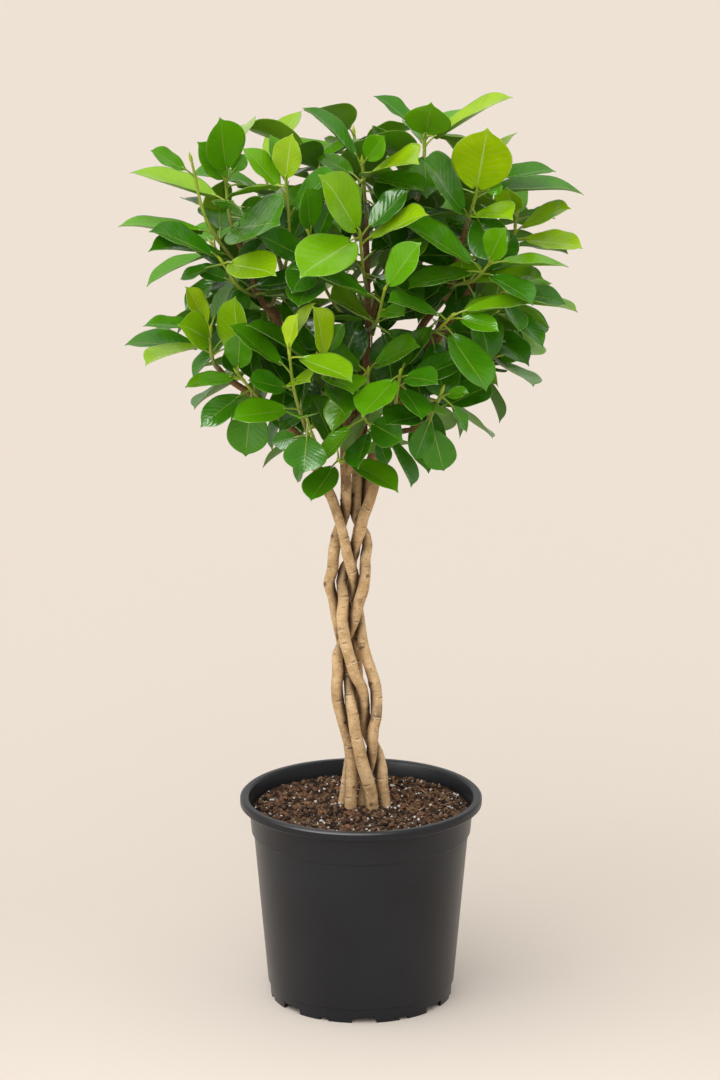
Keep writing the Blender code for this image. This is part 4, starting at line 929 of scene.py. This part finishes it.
def bark_relief(run, sides, draw):
    """Ring scars, knots and shallow flutes: their heights, the scars' lips and grooves, and the knots."""
    angles = np.linspace(0, math.tau, sides, endpoint=False)
    relief, scars, knots = (np.zeros((len(run), sides)) for _ in range(3))
    place = draw.uniform(*FIRST_SCAR) * MM
    while place < run[-1]:
        middle, reach = draw.uniform(0, math.tau), draw.uniform(0.6, 1.0)
        slant = draw.uniform(-1.2, 1.2) * MM
        arc = (1 - reach + reach * (0.5 + 0.5 * np.cos(angles - middle)))[None]
        ahead = run[:, None] - place - slant * np.sin(angles - middle)[None]
        band = np.exp(-(ahead / SCAR_BREADTH) ** 2) * arc
        groove = np.exp(-((ahead - GROOVE_OFFSET) / GROOVE_BREADTH) ** 2) * arc
        relief += (band - 0.5 * groove) * draw.uniform(*SCAR_HEIGHT) * MM
        scars += band - groove
        place += draw.uniform(*SCAR_SPACING) * MM
    for _ in range(int(run[-1] / KNOT_SPACING)):
        place, middle = draw.uniform(0.02, run[-1]), draw.uniform(0, math.tau)
        size, height = draw.uniform(*KNOT_SIZE) * MM, draw.uniform(*KNOT_HEIGHT) * MM
        far = ((run - place)[:, None] / size) ** 2 + (around(angles, middle)[None] * 5 * MM / size) ** 2
        relief += height * np.exp(-far) - 0.6 * height * np.exp(-far * 6)
        knots = np.maximum(knots, np.exp(-far * 2.2))
    flute = FLUTE_DEPTH * np.sin(angles * 3 + draw.uniform(0, 6))[None] * np.sin(run / FLUTE_LENGTH)[:, None]
    fine = np.array([[noise.noise(Vector((math.cos(a) * 2.2, math.sin(a) * 2.2, r / GRAIN_LENGTH)))
                      for a in angles] for r in run]) * GRAIN_DEPTH
    return relief + flute + fine, scars, knots


def crevices(verts, wood, own):
    """How closely the wood that isn't the piece's own shuts in each point, for painted shade between stems: 1
    is touching and 0 is open.
    """
    others = []
    for member, (path, radii) in wood.items():
        if member not in own:
            for index in range(len(path) - 1):
                for share in (0, 0.17, 0.33, 0.5, 0.67, 0.83):
                    radius = radii[index] * (1 - share) + radii[index + 1] * share
                    others.append((path[index].lerp(path[index + 1], share), radius))
    tree = kdtree.KDTree(len(others))
    for index, (point, _) in enumerate(others):
        tree.insert(point, index)
    tree.balance()
    crevice_shade_mask = []
    for vert in verts:
        near = [distance - others[index][1] for _, index, distance in tree.find_n(vert, 4)]
        crevice_shade_mask.append(math.exp(-max(min(near), 0) / SHADE_REACH))
    return np.array(crevice_shade_mask)


def make_stems(wood, materials):
    """The braided stems and their limbs, each stem one piece with the limbs that are fused to it."""
    for number, name in enumerate(STEMS):
        draw = random.Random(STEM_SEED + number)
        build = Builder()
        members = [name] + [limb for limb, row in LIMBS.items() if row[0] == name]
        for member in members:
            path, radii = wood[member]
            sides, spacing = STEM_FINENESS if member == name else LIMB_FINENESS
            points = np.array(smooth_path(path, spacing), dtype=float)
            spread = np.interp(np.linspace(0, 1, len(points)), np.linspace(0, 1, len(radii)), radii)
            run = path_lengths(points)
            slender = np.clip(spread / (5 * MM), 0.4, 1)[:, None]
            swell = 1 + 0.05 * np.sin(run / (17 * MM) + draw.uniform(0, 6))
            relief, scars, knots = bark_relief(run, sides, draw)
            shape = round_tube(points, (spread * swell * BARK_GIRTH)[:, None] + relief * slender, sides)
            # Painted shade between stems, then the ring scars and knots.
            shade_and_marks = np.stack([crevices(shape[0], wood, members), scars.ravel(), knots.ravel()], axis=1)
            build.add(shape, 0, shade_and_marks)
        dress(build.make(name.replace("stem", "bark"), materials), "bark", name)


# The soil's surface: clods at three scales, each its size and height.
CLODS = [(16 * MM, 1.5 * MM), (5.5 * MM, 1.0 * MM), (2.2 * MM, 0.55 * MM)]
SOIL_TOP, SOIL_MOUND, MOUND_REACH = 168.4 * MM, 2.2 * MM, 40 * MM
SOIL_EDGE = 94.6 * MM
SOIL_RINGS, SOIL_SEGMENTS = 70, 190
SOIL_SIDES = [(92.9 * MM, 149.8 * MM), (90.9 * MM, 147.6 * MM), (77.3 * MM, 8.6 * MM)]


def soil_height(x, y):
    """The height of the soil's surface, mounded a little round the stems."""
    height = SOIL_TOP + SOIL_MOUND * math.exp(-(math.hypot(x, y) / MOUND_REACH) ** 2)
    for size, tall in CLODS:
        height += tall * noise.noise(Vector((x / size, y / size, size * 900)))
    return height


def make_soil(material):
    """The soil's rough top, and its sides and floor along the pot's wall, as one closed piece."""
    rings = [(SOIL_EDGE * ring / SOIL_RINGS, None) for ring in range(1, SOIL_RINGS + 1)] + SOIL_SIDES
    verts = [(0, 0, soil_height(0, 0))]
    for radius, height in rings:
        for step in range(SOIL_SEGMENTS):
            angle = math.tau * step / SOIL_SEGMENTS
            x, y = radius * math.cos(angle), radius * math.sin(angle)
            verts.append((x, y, soil_height(x, y) if height is None else height))
    faces = [(0, 1 + step, 1 + (step + 1) % SOIL_SEGMENTS) for step in range(SOIL_SEGMENTS)]
    faces += [(a, d, c, b) for a, b, c, d in ring_faces(len(rings), SOIL_SEGMENTS, 1)]
    faces.append(tuple(reversed(range(len(verts) - SOIL_SEGMENTS, len(verts)))))
    dress(new_mesh_object("potting_soil", verts, faces, [material]), "soil", "soil")


# Loose bits on the soil: how many, the fineness of their mesh, sizes in mm, flattening across and up, how
# rough their shape is, seed, how far sunk, then their darkest and lightest colour and how dull they are.
LOOSE_BITS = {
    "soil_crumbs": (2400, 1, (0.8, 2.9), ((0.6, 1.0), (0.5, 0.9)), 0.34, 11, 0.3,
                    (0.010, 0.005, 0.003), (0.23, 0.125, 0.068), 0.9),
    "bark_chips": (90, 2, (2.0, 4.6), ((0.35, 0.7), (0.2, 0.45)), 0.18, 12, 0.15,
                   (0.085, 0.036, 0.017), (0.26, 0.125, 0.060), 0.8),
    "peat_fibres": (260, 1, (2.0, 5.5), ((0.07, 0.14), (0.07, 0.12)), 0.15, 14, 0.1,
                    (0.22, 0.13, 0.065), (0.62, 0.45, 0.28), 0.85),
    "perlite": (420, 1, (0.5, 1.7), ((0.6, 1.0), (0.5, 0.9)), 0.3, 13, 0.1,
                (0.62, 0.60, 0.56), (0.86, 0.84, 0.80), 0.85),
}
STEM_MARGIN = 5 * MM  # kept free round each stem's foot


def lump(subdivisions):
    """The corners and triangles of a round lump."""
    cage = bmesh.new()
    bmesh.ops.create_icosphere(cage, subdivisions=subdivisions, radius=1)
    cage.verts.ensure_lookup_table()
    verts = np.array([tuple(vert.co) for vert in cage.verts])
    faces = [tuple(vert.index for vert in face.verts) for face in cage.faces]
    cage.free()
    return verts, faces


def scatter(name, feet, count, subdivisions, sizes, squash, rough, seed, sink, *finish):
    """Loose bits on the soil, clear of the stems: rough lumps of random size and turn, a little sunk."""
    draw = random.Random(seed)
    base, triangles = lump(subdivisions)
    build = Builder()
    while build.count < count * len(base):
        far = SOIL_EDGE * 0.975 * math.sqrt(draw.random())
        angle = draw.uniform(0, math.tau)
        x, y = far * math.cos(angle), far * math.sin(angle)
        size = draw.uniform(*sizes) * MM
        flat = [size, size * draw.uniform(*squash[0]), size * draw.uniform(*squash[1])]
        nearest_foot = min((Vector((x, y)) - foot).length for foot in feet)
        if far + size > SOIL_EDGE * 0.985 or nearest_foot < size + STEM_MARGIN:
            continue
        turn = Matrix.Rotation(draw.uniform(0, math.tau), 3, "Z")
        turn = turn @ Matrix.Rotation(draw.uniform(-0.5, 0.5), 3, "X")
        turn = turn @ Matrix.Rotation(draw.uniform(-0.4, 0.4), 3, "Y")
        shape = base * (1 + np.array([draw.uniform(-rough, rough) for _ in base]))[:, None]
        shape = (shape * np.array(flat)) @ np.array(turn).T
        shape += np.array([x, y, soil_height(x, y) - shape[:, 2].min() * (1 - 2 * sink)])
        build.add((shape, triangles, base), 0, (draw.random(), draw.random(), 0))
    dress(build.make(name, [crumb_material(name, *finish)]), "soil")


# The pot's fine profile is the solid's, turned in more steps and with its edges rounded.
POT_STEPS = 144
POT_PROFILE = [
    (0, 8), (77.8, 8), (91.2, 147), (93.2, 149.4), (95.2, 170.4), (97.6, 179.6), (99.2, 181),
    (103.4, 181), (105, 179.4), (105, 174.6), (103.6, 173.2), (97.2, 172.6), (95.2, 149.6), (93.2, 147.8),
    (81.4, 13.2), (79.8, 12.2), (79.2, 0), (76.4, 0), (76.2, 5.6), (13, 5.6), (11, 0), (0, 0),
]
NOTCHES = 7
FIRST_NOTCH = math.radians(-88)
NOTCH_RADIUS, NOTCH_DEPTH = 78 * MM, 12 * MM
NOTCH_WIDTH, NOTCH_HEIGHT = 21 * MM, 5.2 * MM
SLOT_WIDTH, SLOT_HEIGHT = 8 * MM, 2.6 * MM
DRAINS = 4
DRAIN_RADIUS, DRAIN_DEPTH, DRAIN_HEIGHT = 6 * MM, 12 * MM, 7 * MM
DRAIN_CIRCLE = 48 * MM
EDGE_ROUNDING = 0.7 * MM
MERGE_REACH = 0.05 * MM
ROUNDED_ANGLE, SHARP_ANGLE = math.radians(28), math.radians(50)  # edges rounded, and edges shaded sharp


def apply(item, kind, **settings):
    """Changes an object's mesh by a modifier with the given settings."""
    modifier = item.modifiers.new(kind, kind)
    for key, value in settings.items():
        setattr(modifier, key, value)
    graph = bpy.context.evaluated_depsgraph_get()
    mesh = bpy.data.meshes.new_from_object(item.evaluated_get(graph))
    item.modifiers.clear()
    item.data = mesh


def pot_cutters():
    """Blocks for the foot ring's notches and slots, and round pegs for the drain holes."""
    for number in range(NOTCHES):
        angle = FIRST_NOTCH + math.tau * number / NOTCHES
        for turn, width, height in ((angle, NOTCH_WIDTH, NOTCH_HEIGHT),
                                    (angle + math.pi / NOTCHES, SLOT_WIDTH, SLOT_HEIGHT)):
            bpy.ops.mesh.primitive_cube_add(size=1)
            place = Matrix.Rotation(turn, 4, "Z") @ Matrix.Translation((NOTCH_RADIUS, 0, 0))
            yield bpy.context.object, place @ Matrix.Diagonal((NOTCH_DEPTH, width, 2 * height, 1))
    for number in range(DRAINS):
        angle = math.tau * (number + 0.5) / DRAINS
        bpy.ops.mesh.primitive_cylinder_add(vertices=32, radius=DRAIN_RADIUS, depth=DRAIN_DEPTH)
        place = (DRAIN_CIRCLE * math.cos(angle), DRAIN_CIRCLE * math.sin(angle), DRAIN_HEIGHT)
        yield bpy.context.object, Matrix.Translation(place)


def make_pot(material):
    """The nursery pot: its profile turned, the notches and drain holes cut, and its edges rounded."""
    mesh = bpy.data.meshes.new("nursery_pot")
    mesh.from_pydata([(radius * MM, 0, height * MM) for radius, height in POT_PROFILE],
                     [(k, k + 1) for k in range(len(POT_PROFILE) - 1)], [])
    pot = new_object("nursery_pot", mesh)
    apply(pot, "SCREW", steps=POT_STEPS, render_steps=POT_STEPS, use_merge_vertices=True,
          merge_threshold=MERGE_REACH)
    group = bpy.data.collections.new("pot_cutters")
    bpy.context.scene.collection.children.link(group)
    for cutter, place in pot_cutters():
        cutter.data.transform(place)
        group.objects.link(cutter)
    apply(pot, "BOOLEAN", operation="DIFFERENCE", operand_type="COLLECTION", collection=group)
    for cutter in list(group.objects):
        bpy.data.objects.remove(cutter)
    bpy.data.collections.remove(group)
    apply(pot, "BEVEL", width=EDGE_ROUNDING, segments=2, limit_method="ANGLE", angle_limit=ROUNDED_ANGLE,
          use_clamp_overlap=True)
    pot.data.materials.clear()
    pot.data.materials.append(material)
    pot.data.shade_smooth()
    pot.data.set_sharp_from_angle(angle=SHARP_ANGLE)
    dress(pot, "pot", "pot")


class Nodes:
    """A short way to write a material's node tree."""

    def __init__(self, name, specular=0.5):
        self.material = bpy.data.materials.new(name)
        self.material.use_nodes = True
        self.tree = self.material.node_tree
        self.shader = self.tree.nodes["Principled BSDF"]
        self.shader.inputs["Metallic"].default_value = 0
        self.shader.inputs["Specular IOR Level"].default_value = specular

    def feed(self, socket, value):
        """Links another node's output to a socket, or sets the socket's own number or colour."""
        if hasattr(value, "links"):
            self.tree.links.new(value, socket)
        elif socket.type == "RGBA":
            socket.default_value = (*value, 1)
        else:
            socket.default_value = value

    def node(self, kind, inputs=None, **settings):
        node = self.tree.nodes.new(kind)
        for key, value in settings.items():
            setattr(node, key, value)
        for key, value in (inputs or {}).items():
            self.feed(node.inputs[key], value)
        return node

    def math(self, operation, *values):
        return self.node("ShaderNodeMath", dict(enumerate(values)), operation=operation).outputs[0]

    def mix(self, factor, first, second, blend="MIX"):
        node = self.node("ShaderNodeMix", data_type="RGBA", blend_type=blend)
        for socket, value in ((0, factor), (6, first), (7, second)):
            self.feed(node.inputs[socket], value)
        return node.outputs[2]

    def times(self, colour, other):
        return self.mix(1.0, colour, other, "MULTIPLY")

    def tint(self, colour, mask, low, high, share, other):
        """The colour, turned to another by a share as the mask goes from `low` to `high`."""
        return self.mix(self.math("MULTIPLY", self.ramp(mask, low, high), share), colour, other)

    def ramp(self, value, low, high):
        """0 at `low`, 1 at `high`, smooth between."""
        inputs = {"Value": value, "From Min": low, "From Max": high}
        return self.node("ShaderNodeMapRange", inputs, interpolation_type="SMOOTHSTEP").outputs[0]

    def place(self):
        return self.node("ShaderNodeTexCoord").outputs["Object"]

    def noise(self, scale, detail=3.0, roughness=0.55, stretch=None):
        place = self.place()
        if stretch:
            place = self.node("ShaderNodeMapping", {"Vector": place, "Scale": stretch}).outputs[0]
        inputs = {"Vector": place, "Scale": scale, "Detail": detail, "Roughness": roughness}
        return self.node("ShaderNodeTexNoise", inputs).outputs["Fac"]

    def parts(self, vector):
        return list(self.node("ShaderNodeSeparateXYZ", {"Vector": vector}).outputs)

    def attribute(self, name):
        return self.parts(self.node("ShaderNodeAttribute", attribute_name=name).outputs["Vector"])

    def bump(self, height, strength, distance):
        inputs = {"Height": height, "Strength": strength, "Distance": distance}
        return self.node("ShaderNodeBump", inputs).outputs[0]

    def finish(self, colour, roughness, normal=None):
        self.feed(self.shader.inputs["Base Color"], colour)
        self.feed(self.shader.inputs["Roughness"], roughness)
        if normal is not None:
            self.feed(self.shader.inputs["Normal"], normal)
        return self.material


# Colours. Those called a shade multiply the colour under them. The inner, cloud, head and crevice shades are
# painted shade, and the floor's lighter colour is a painted pool of light.
OLD_LEAF = (0.037, 0.192, 0.003)
GROWN_LEAF = (0.130, 0.415, 0.002)
NEW_LEAF = (0.40, 0.615, 0.003)
LEAF_UNDERSIDE = (0.11, 0.235, 0.012)
RIB_COLOUR = (0.30, 0.42, 0.07)
NEW_RIB = (0.60, 0.76, 0.24)
INNER_PAINTED_SHADE = (0.34, 0.38, 0.32)
CLOUD_PAINTED_SHADE = (0.60, 0.68, 0.55)
LIGHT_SHADE = (1.5, 1.35, 1.1)  # of a leaf lighter than its neighbours
TWIG_FOOT, TWIG_TIP, TWIG_SPECK = (0.20, 0.16, 0.05), (0.38, 0.47, 0.045), (0.12, 0.10, 0.05)
OLD_BUD, NEW_BUD, BUD_SPECK = (0.26, 0.40, 0.03), (0.48, 0.60, 0.035), (0.25, 0.30, 0.06)
BARK_TAN, BARK_PALE = (0.49, 0.305, 0.140), (0.78, 0.550, 0.300)
BARK_BAND, BARK_STAIN, BARK_SPECK = (0.27, 0.155, 0.07), (0.16, 0.095, 0.05), (0.12, 0.065, 0.03)
SCAR_LIP, SCAR_GROOVE = (0.82, 0.67, 0.46), (0.13, 0.072, 0.035)
BARK_PORE, BARK_KNOT = (0.82, 0.66, 0.45), (0.12, 0.06, 0.03)
HEAD_PAINTED_SHADE, CREVICE_PAINTED_SHADE = (0.34, 0.27, 0.19), (0.10, 0.06, 0.035)
DAMP_SOIL, DRY_SOIL, SOIL_GRAIN = (0.011, 0.0055, 0.003), (0.060, 0.031, 0.016), (0.10, 0.05, 0.024)
CRUMB_SHADE = (0.5, 0.45, 0.4)
PLASTIC, PLASTIC_SCUFF, PLASTIC_SPECK = (0.0085, 0.0095, 0.0125), (0.0120, 0.0135, 0.0175), (0.06, 0.06, 0.06)
FLOOR, FLOOR_PAINTED_LIGHT, WHITE = (0.718, 0.644, 0.576), (0.865, 0.778, 0.704), (1.0, 1.0, 1.0)

SIDE_VEINS = 9
HEAD_FOOT = (0.41, 0.53)  # heights between which the bark goes into the shade of the head
VEIN_RISE, VEIN_BREADTH = 0.30, 0.09  # how far a vein leans to the tip, and its breadth against their spacing


def leaf_material():
    """Waxy blades: old to new green, painted shade deep in the head and in broad patches, a pale rib, a pale
    edge that is partly painted highlight, faint side veins and a dull underside.
    """
    nodes = Nodes("leaf_blade", 0.30)
    across, along, under = nodes.attribute("place")
    youth, depth, shade = nodes.attribute("tone")
    side = nodes.math("ABSOLUTE", across)
    grown = nodes.mix(nodes.ramp(youth, 0.0, 0.5), OLD_LEAF, GROWN_LEAF)
    colour = nodes.mix(nodes.ramp(youth, 0.35, 1.0), grown, NEW_LEAF)
    # Painted shade: leaves deep in the head are darker.
    colour = nodes.tint(colour, depth, 0.10, 0.55, 0.8, nodes.times(colour, INNER_PAINTED_SHADE))
    # Painted shade in broad random patches across the blades.
    colour = nodes.tint(colour, nodes.noise(32, 2), 0.38, 0.66, 0.4, nodes.times(colour, CLOUD_PAINTED_SHADE))
    colour = nodes.tint(colour, nodes.noise(90, 3), 0.35, 0.75, 0.35, nodes.mix(0.5, colour, GROWN_LEAF))
    colour = nodes.tint(colour, shade, 0.0, 1.0, 0.35, nodes.times(colour, LIGHT_SHADE))
    pale = nodes.mix(nodes.ramp(youth, 0.3, 0.8), RIB_COLOUR, NEW_RIB)
    bend = nodes.math("MULTIPLY", nodes.math("POWER", side, 0.85), VEIN_RISE)
    phase = nodes.math("MULTIPLY", nodes.math("SUBTRACT", along, bend), SIDE_VEINS)
    stripe = nodes.math("ABSOLUTE", nodes.math("SUBTRACT", nodes.math("FRACT", phase), 0.5))
    vein = nodes.math("SUBTRACT", 1.0, nodes.ramp(stripe, 0.0, VEIN_BREADTH))
    vein = nodes.math("MULTIPLY", vein, nodes.math("SUBTRACT", 1.0, nodes.ramp(side, 0.75, 0.95)))
    vein = nodes.math("MULTIPLY", vein, nodes.math("MULTIPLY_ADD", youth, 0.10, 0.07))
    colour = nodes.mix(vein, colour, pale)
    width = nodes.math("MULTIPLY_ADD", along, -0.028, 0.042)
    rib = nodes.math("SUBTRACT", 1.0, nodes.ramp(nodes.math("DIVIDE", side, width), 0.55, 1.25))
    colour = nodes.mix(nodes.math("MULTIPLY", rib, 0.75), colour, pale)
    # A pale rim: partly the blade's own paler margin, partly a painted edge highlight.
    colour = nodes.tint(colour, side, 0.965, 1.0, 0.75, pale)
    colour = nodes.mix(under, colour, nodes.mix(0.55, colour, LEAF_UNDERSIDE))
    pillow = nodes.math("POWER", nodes.math("MULTIPLY", stripe, 2.0), 0.6)
    height = nodes.math("MULTIPLY_ADD", pillow, 0.3, nodes.noise(110, 2))
    waxy = nodes.math("MULTIPLY_ADD", nodes.noise(60, 2), 0.10, 0.15)
    roughness = nodes.math("MULTIPLY_ADD", under, 0.24, waxy)
    return nodes.finish(colour, roughness, nodes.bump(height, 0.5, 0.0007))


def twig_material():
    """Young wood: green-brown at the foot of a shoot and yellow-green towards its tip."""
    nodes = Nodes("twig_skin")
    along = nodes.attribute("place")[1]
    colour = nodes.mix(nodes.ramp(along, 0.0, 0.6), TWIG_FOOT, TWIG_TIP)
    colour = nodes.tint(colour, nodes.noise(400, 2), 0.55, 0.7, 0.5, TWIG_SPECK)
    return nodes.finish(colour, 0.5, nodes.bump(nodes.noise(700, 2), 0.3, 0.0003))


def bud_material():
    """Buds and leaf stalks, pale yellow-green."""
    nodes = Nodes("bud_and_stalk")
    youth = nodes.attribute("tone")[0]
    colour = nodes.mix(nodes.ramp(youth, 0.0, 1.0), OLD_BUD, NEW_BUD)
    colour = nodes.mix(nodes.math("MULTIPLY", nodes.noise(300, 2), 0.3), colour, BUD_SPECK)
    return nodes.finish(colour, 0.38, nodes.bump(nodes.noise(900, 2), 0.2, 0.0002))


def bark_material():
    """Smooth tan bark with pale ring scars, dark knots, specks and stains, and painted shade under the head
    and where stems close in.
    """
    nodes = Nodes("bark", 0.2)
    crevice_shade_mask, scar, knot = nodes.attribute("tone")
    bands = nodes.noise(150, 4, 0.6, (1, 1, 3.2))
    stains = nodes.noise(34, 4, 0.6)
    specks = nodes.noise(560, 2, 0.5)
    pores = nodes.noise(480, 1, 0.4, (1, 1, 0.6))
    knot = nodes.math("ADD", knot, nodes.math("MULTIPLY_ADD", specks, 1.2, -0.6))
    cloud = nodes.ramp(nodes.noise(60, 5, 0.65), 0.32, 0.70)
    colour = nodes.mix(cloud, BARK_TAN, BARK_PALE)
    # Each kind of mark with where it starts and is full, how strongly it shows, and its colour.
    for mark in ((bands, 0.54, 0.70, 0.6, BARK_BAND), (stains, 0.60, 0.70, 0.6, BARK_STAIN),
                 (scar, 0.40, 0.85, 0.75, SCAR_LIP), (scar, -0.30, -0.75, 0.85, SCAR_GROOVE),
                 (specks, 0.64, 0.70, 0.6, BARK_SPECK), (pores, 0.66, 0.74, 0.6, BARK_PORE),
                 (knot, 0.12, 0.75, 0.85, BARK_KNOT)):
        colour = nodes.tint(colour, *mark)
    # Painted shade: the bark darkens going up into the head, where the leaves shade it.
    head_shade_mask = nodes.ramp(nodes.parts(nodes.place())[2], *HEAD_FOOT)
    colour = nodes.mix(head_shade_mask, colour, nodes.times(colour, HEAD_PAINTED_SHADE))
    # Painted shade where other stems close in.
    colour = nodes.tint(colour, crevice_shade_mask, 0.06, 0.62, 0.94, nodes.times(colour, CREVICE_PAINTED_SHADE))
    relief = nodes.math("ADD", nodes.math("MULTIPLY", bands, 0.6), nodes.math("MULTIPLY", specks, 0.4))
    return nodes.finish(colour, 0.62, nodes.bump(relief, 0.8, 0.0007))


def soil_material():
    """Dark damp soil with paler grains."""
    nodes = Nodes("soil", 0.1)
    cloud = nodes.ramp(nodes.noise(160, 5, 0.7), 0.3, 0.7)
    colour = nodes.mix(cloud, DAMP_SOIL, DRY_SOIL)
    colour = nodes.tint(colour, nodes.noise(700, 3), 0.6, 0.72, 0.7, SOIL_GRAIN)
    return nodes.finish(colour, 0.92, nodes.bump(nodes.noise(900, 4, 0.7), 0.9, 0.0008))


def crumb_material(name, dark, light, roughness):
    """Loose bits whose colour differs from one to the next."""
    nodes = Nodes(name, 0.12)
    colour = nodes.mix(nodes.attribute("tone")[0], dark, light)
    grain = nodes.noise(900, 4, 0.7)
    colour = nodes.tint(colour, grain, 0.4, 0.7, 0.5, nodes.times(colour, CRUMB_SHADE))
    return nodes.finish(colour, roughness, nodes.bump(grain, 0.6, 0.0004))


def pot_material():
    """Near-black polypropylene: satin, finely speckled, with faint scuffs."""
    nodes = Nodes("pot_plastic", 0.27)
    speck = nodes.noise(1500, 2, 0.5)
    cloud = nodes.noise(14, 3, 0.5)
    colour = nodes.mix(nodes.ramp(cloud, 0.3, 0.7), PLASTIC, PLASTIC_SCUFF)
    colour = nodes.tint(colour, speck, 0.68, 0.75, 0.4, PLASTIC_SPECK)
    roughness = nodes.math("MULTIPLY_ADD", cloud, 0.12, 0.28)
    fine = nodes.math("MULTIPLY", speck, 0.4)
    grain = nodes.math("MULTIPLY_ADD", nodes.noise(420, 3, 0.6), 0.6, fine)
    return nodes.finish(colour, roughness, nodes.bump(grain, 0.10, 0.0003))


def floor_material():
    """A pale matt floor with a painted pool of light before the pot."""
    nodes = Nodes("studio_floor", 0.1)
    far = nodes.node("ShaderNodeVectorMath", {0: nodes.place(), 1: PAINTED_LIGHT_POOL}, operation="DISTANCE")
    # A painted pool of light: the floor is lighter towards the pool's middle.
    painted_pool = nodes.ramp(far.outputs["Value"], 0.85, 0.15)
    colour = nodes.mix(painted_pool, FLOOR, FLOOR_PAINTED_LIGHT)
    colour = nodes.mix(nodes.math("MULTIPLY", nodes.noise(0.6, 2), 0.02), colour, WHITE)
    return nodes.finish(colour, 0.8)


def make_camera():
    camera = bpy.data.cameras.new("camera")
    camera.lens = CAMERA_LENS
    camera.sensor_width = CAMERA_SENSOR
    camera.clip_end = 100
    item = new_object("camera", camera)
    item.location = CAMERA_PLACE
    item.rotation_euler = (math.pi / 2 - CAMERA_TILT, 0, 0)
    bpy.context.scene.camera = item


def add_sun(name, source, angle, strength, colour):
    """A sun that shines from a direction onto the plant; a gloss sun gives highlights only."""
    light = bpy.data.lights.new(name, "SUN")
    light.angle = math.radians(angle)
    light.energy = strength
    light.color = colour
    item = new_object(name, light)
    item.location = source
    item.visible_diffuse = not name.startswith("gloss")
    item.rotation_euler = Vector(source).to_track_quat("Z", "Y").to_euler()


def make_studio():
    """A wide pale floor under an even warm sky, soft suns from the left and the front, and two for gloss."""
    corners = [(x * FLOOR_REACH, y * FLOOR_REACH, 0) for x, y in ((-1, -1), (1, -1), (1, 1), (-1, 1))]
    floor = new_mesh_object("floor", corners, [(0, 1, 2, 3)], [floor_material()])
    world = bpy.data.worlds.new("studio")
    world.use_nodes = True
    background = world.node_tree.nodes["Background"]
    background.inputs["Color"].default_value = SKY_COLOUR
    background.inputs["Strength"].default_value = SKY_STRENGTH
    bpy.context.scene.world = world
    for row in SUNS:
        add_sun(*row)
    bpy.context.scene.view_settings.view_transform = "Standard"


def main():
    make_camera()
    make_studio()
    wood, shoots = lay_out_plant()
    make_pot(pot_material())
    make_soil(soil_material())
    feet = [Vector(wood[name][0][FOOT_POINT].xy) for name in STEMS]
    for name, row in LOOSE_BITS.items():
        scatter(name, feet, *row)
    make_stems(wood, [bark_material()])
    make_shoots(shoots, [leaf_material(), twig_material(), bud_material()])


main()
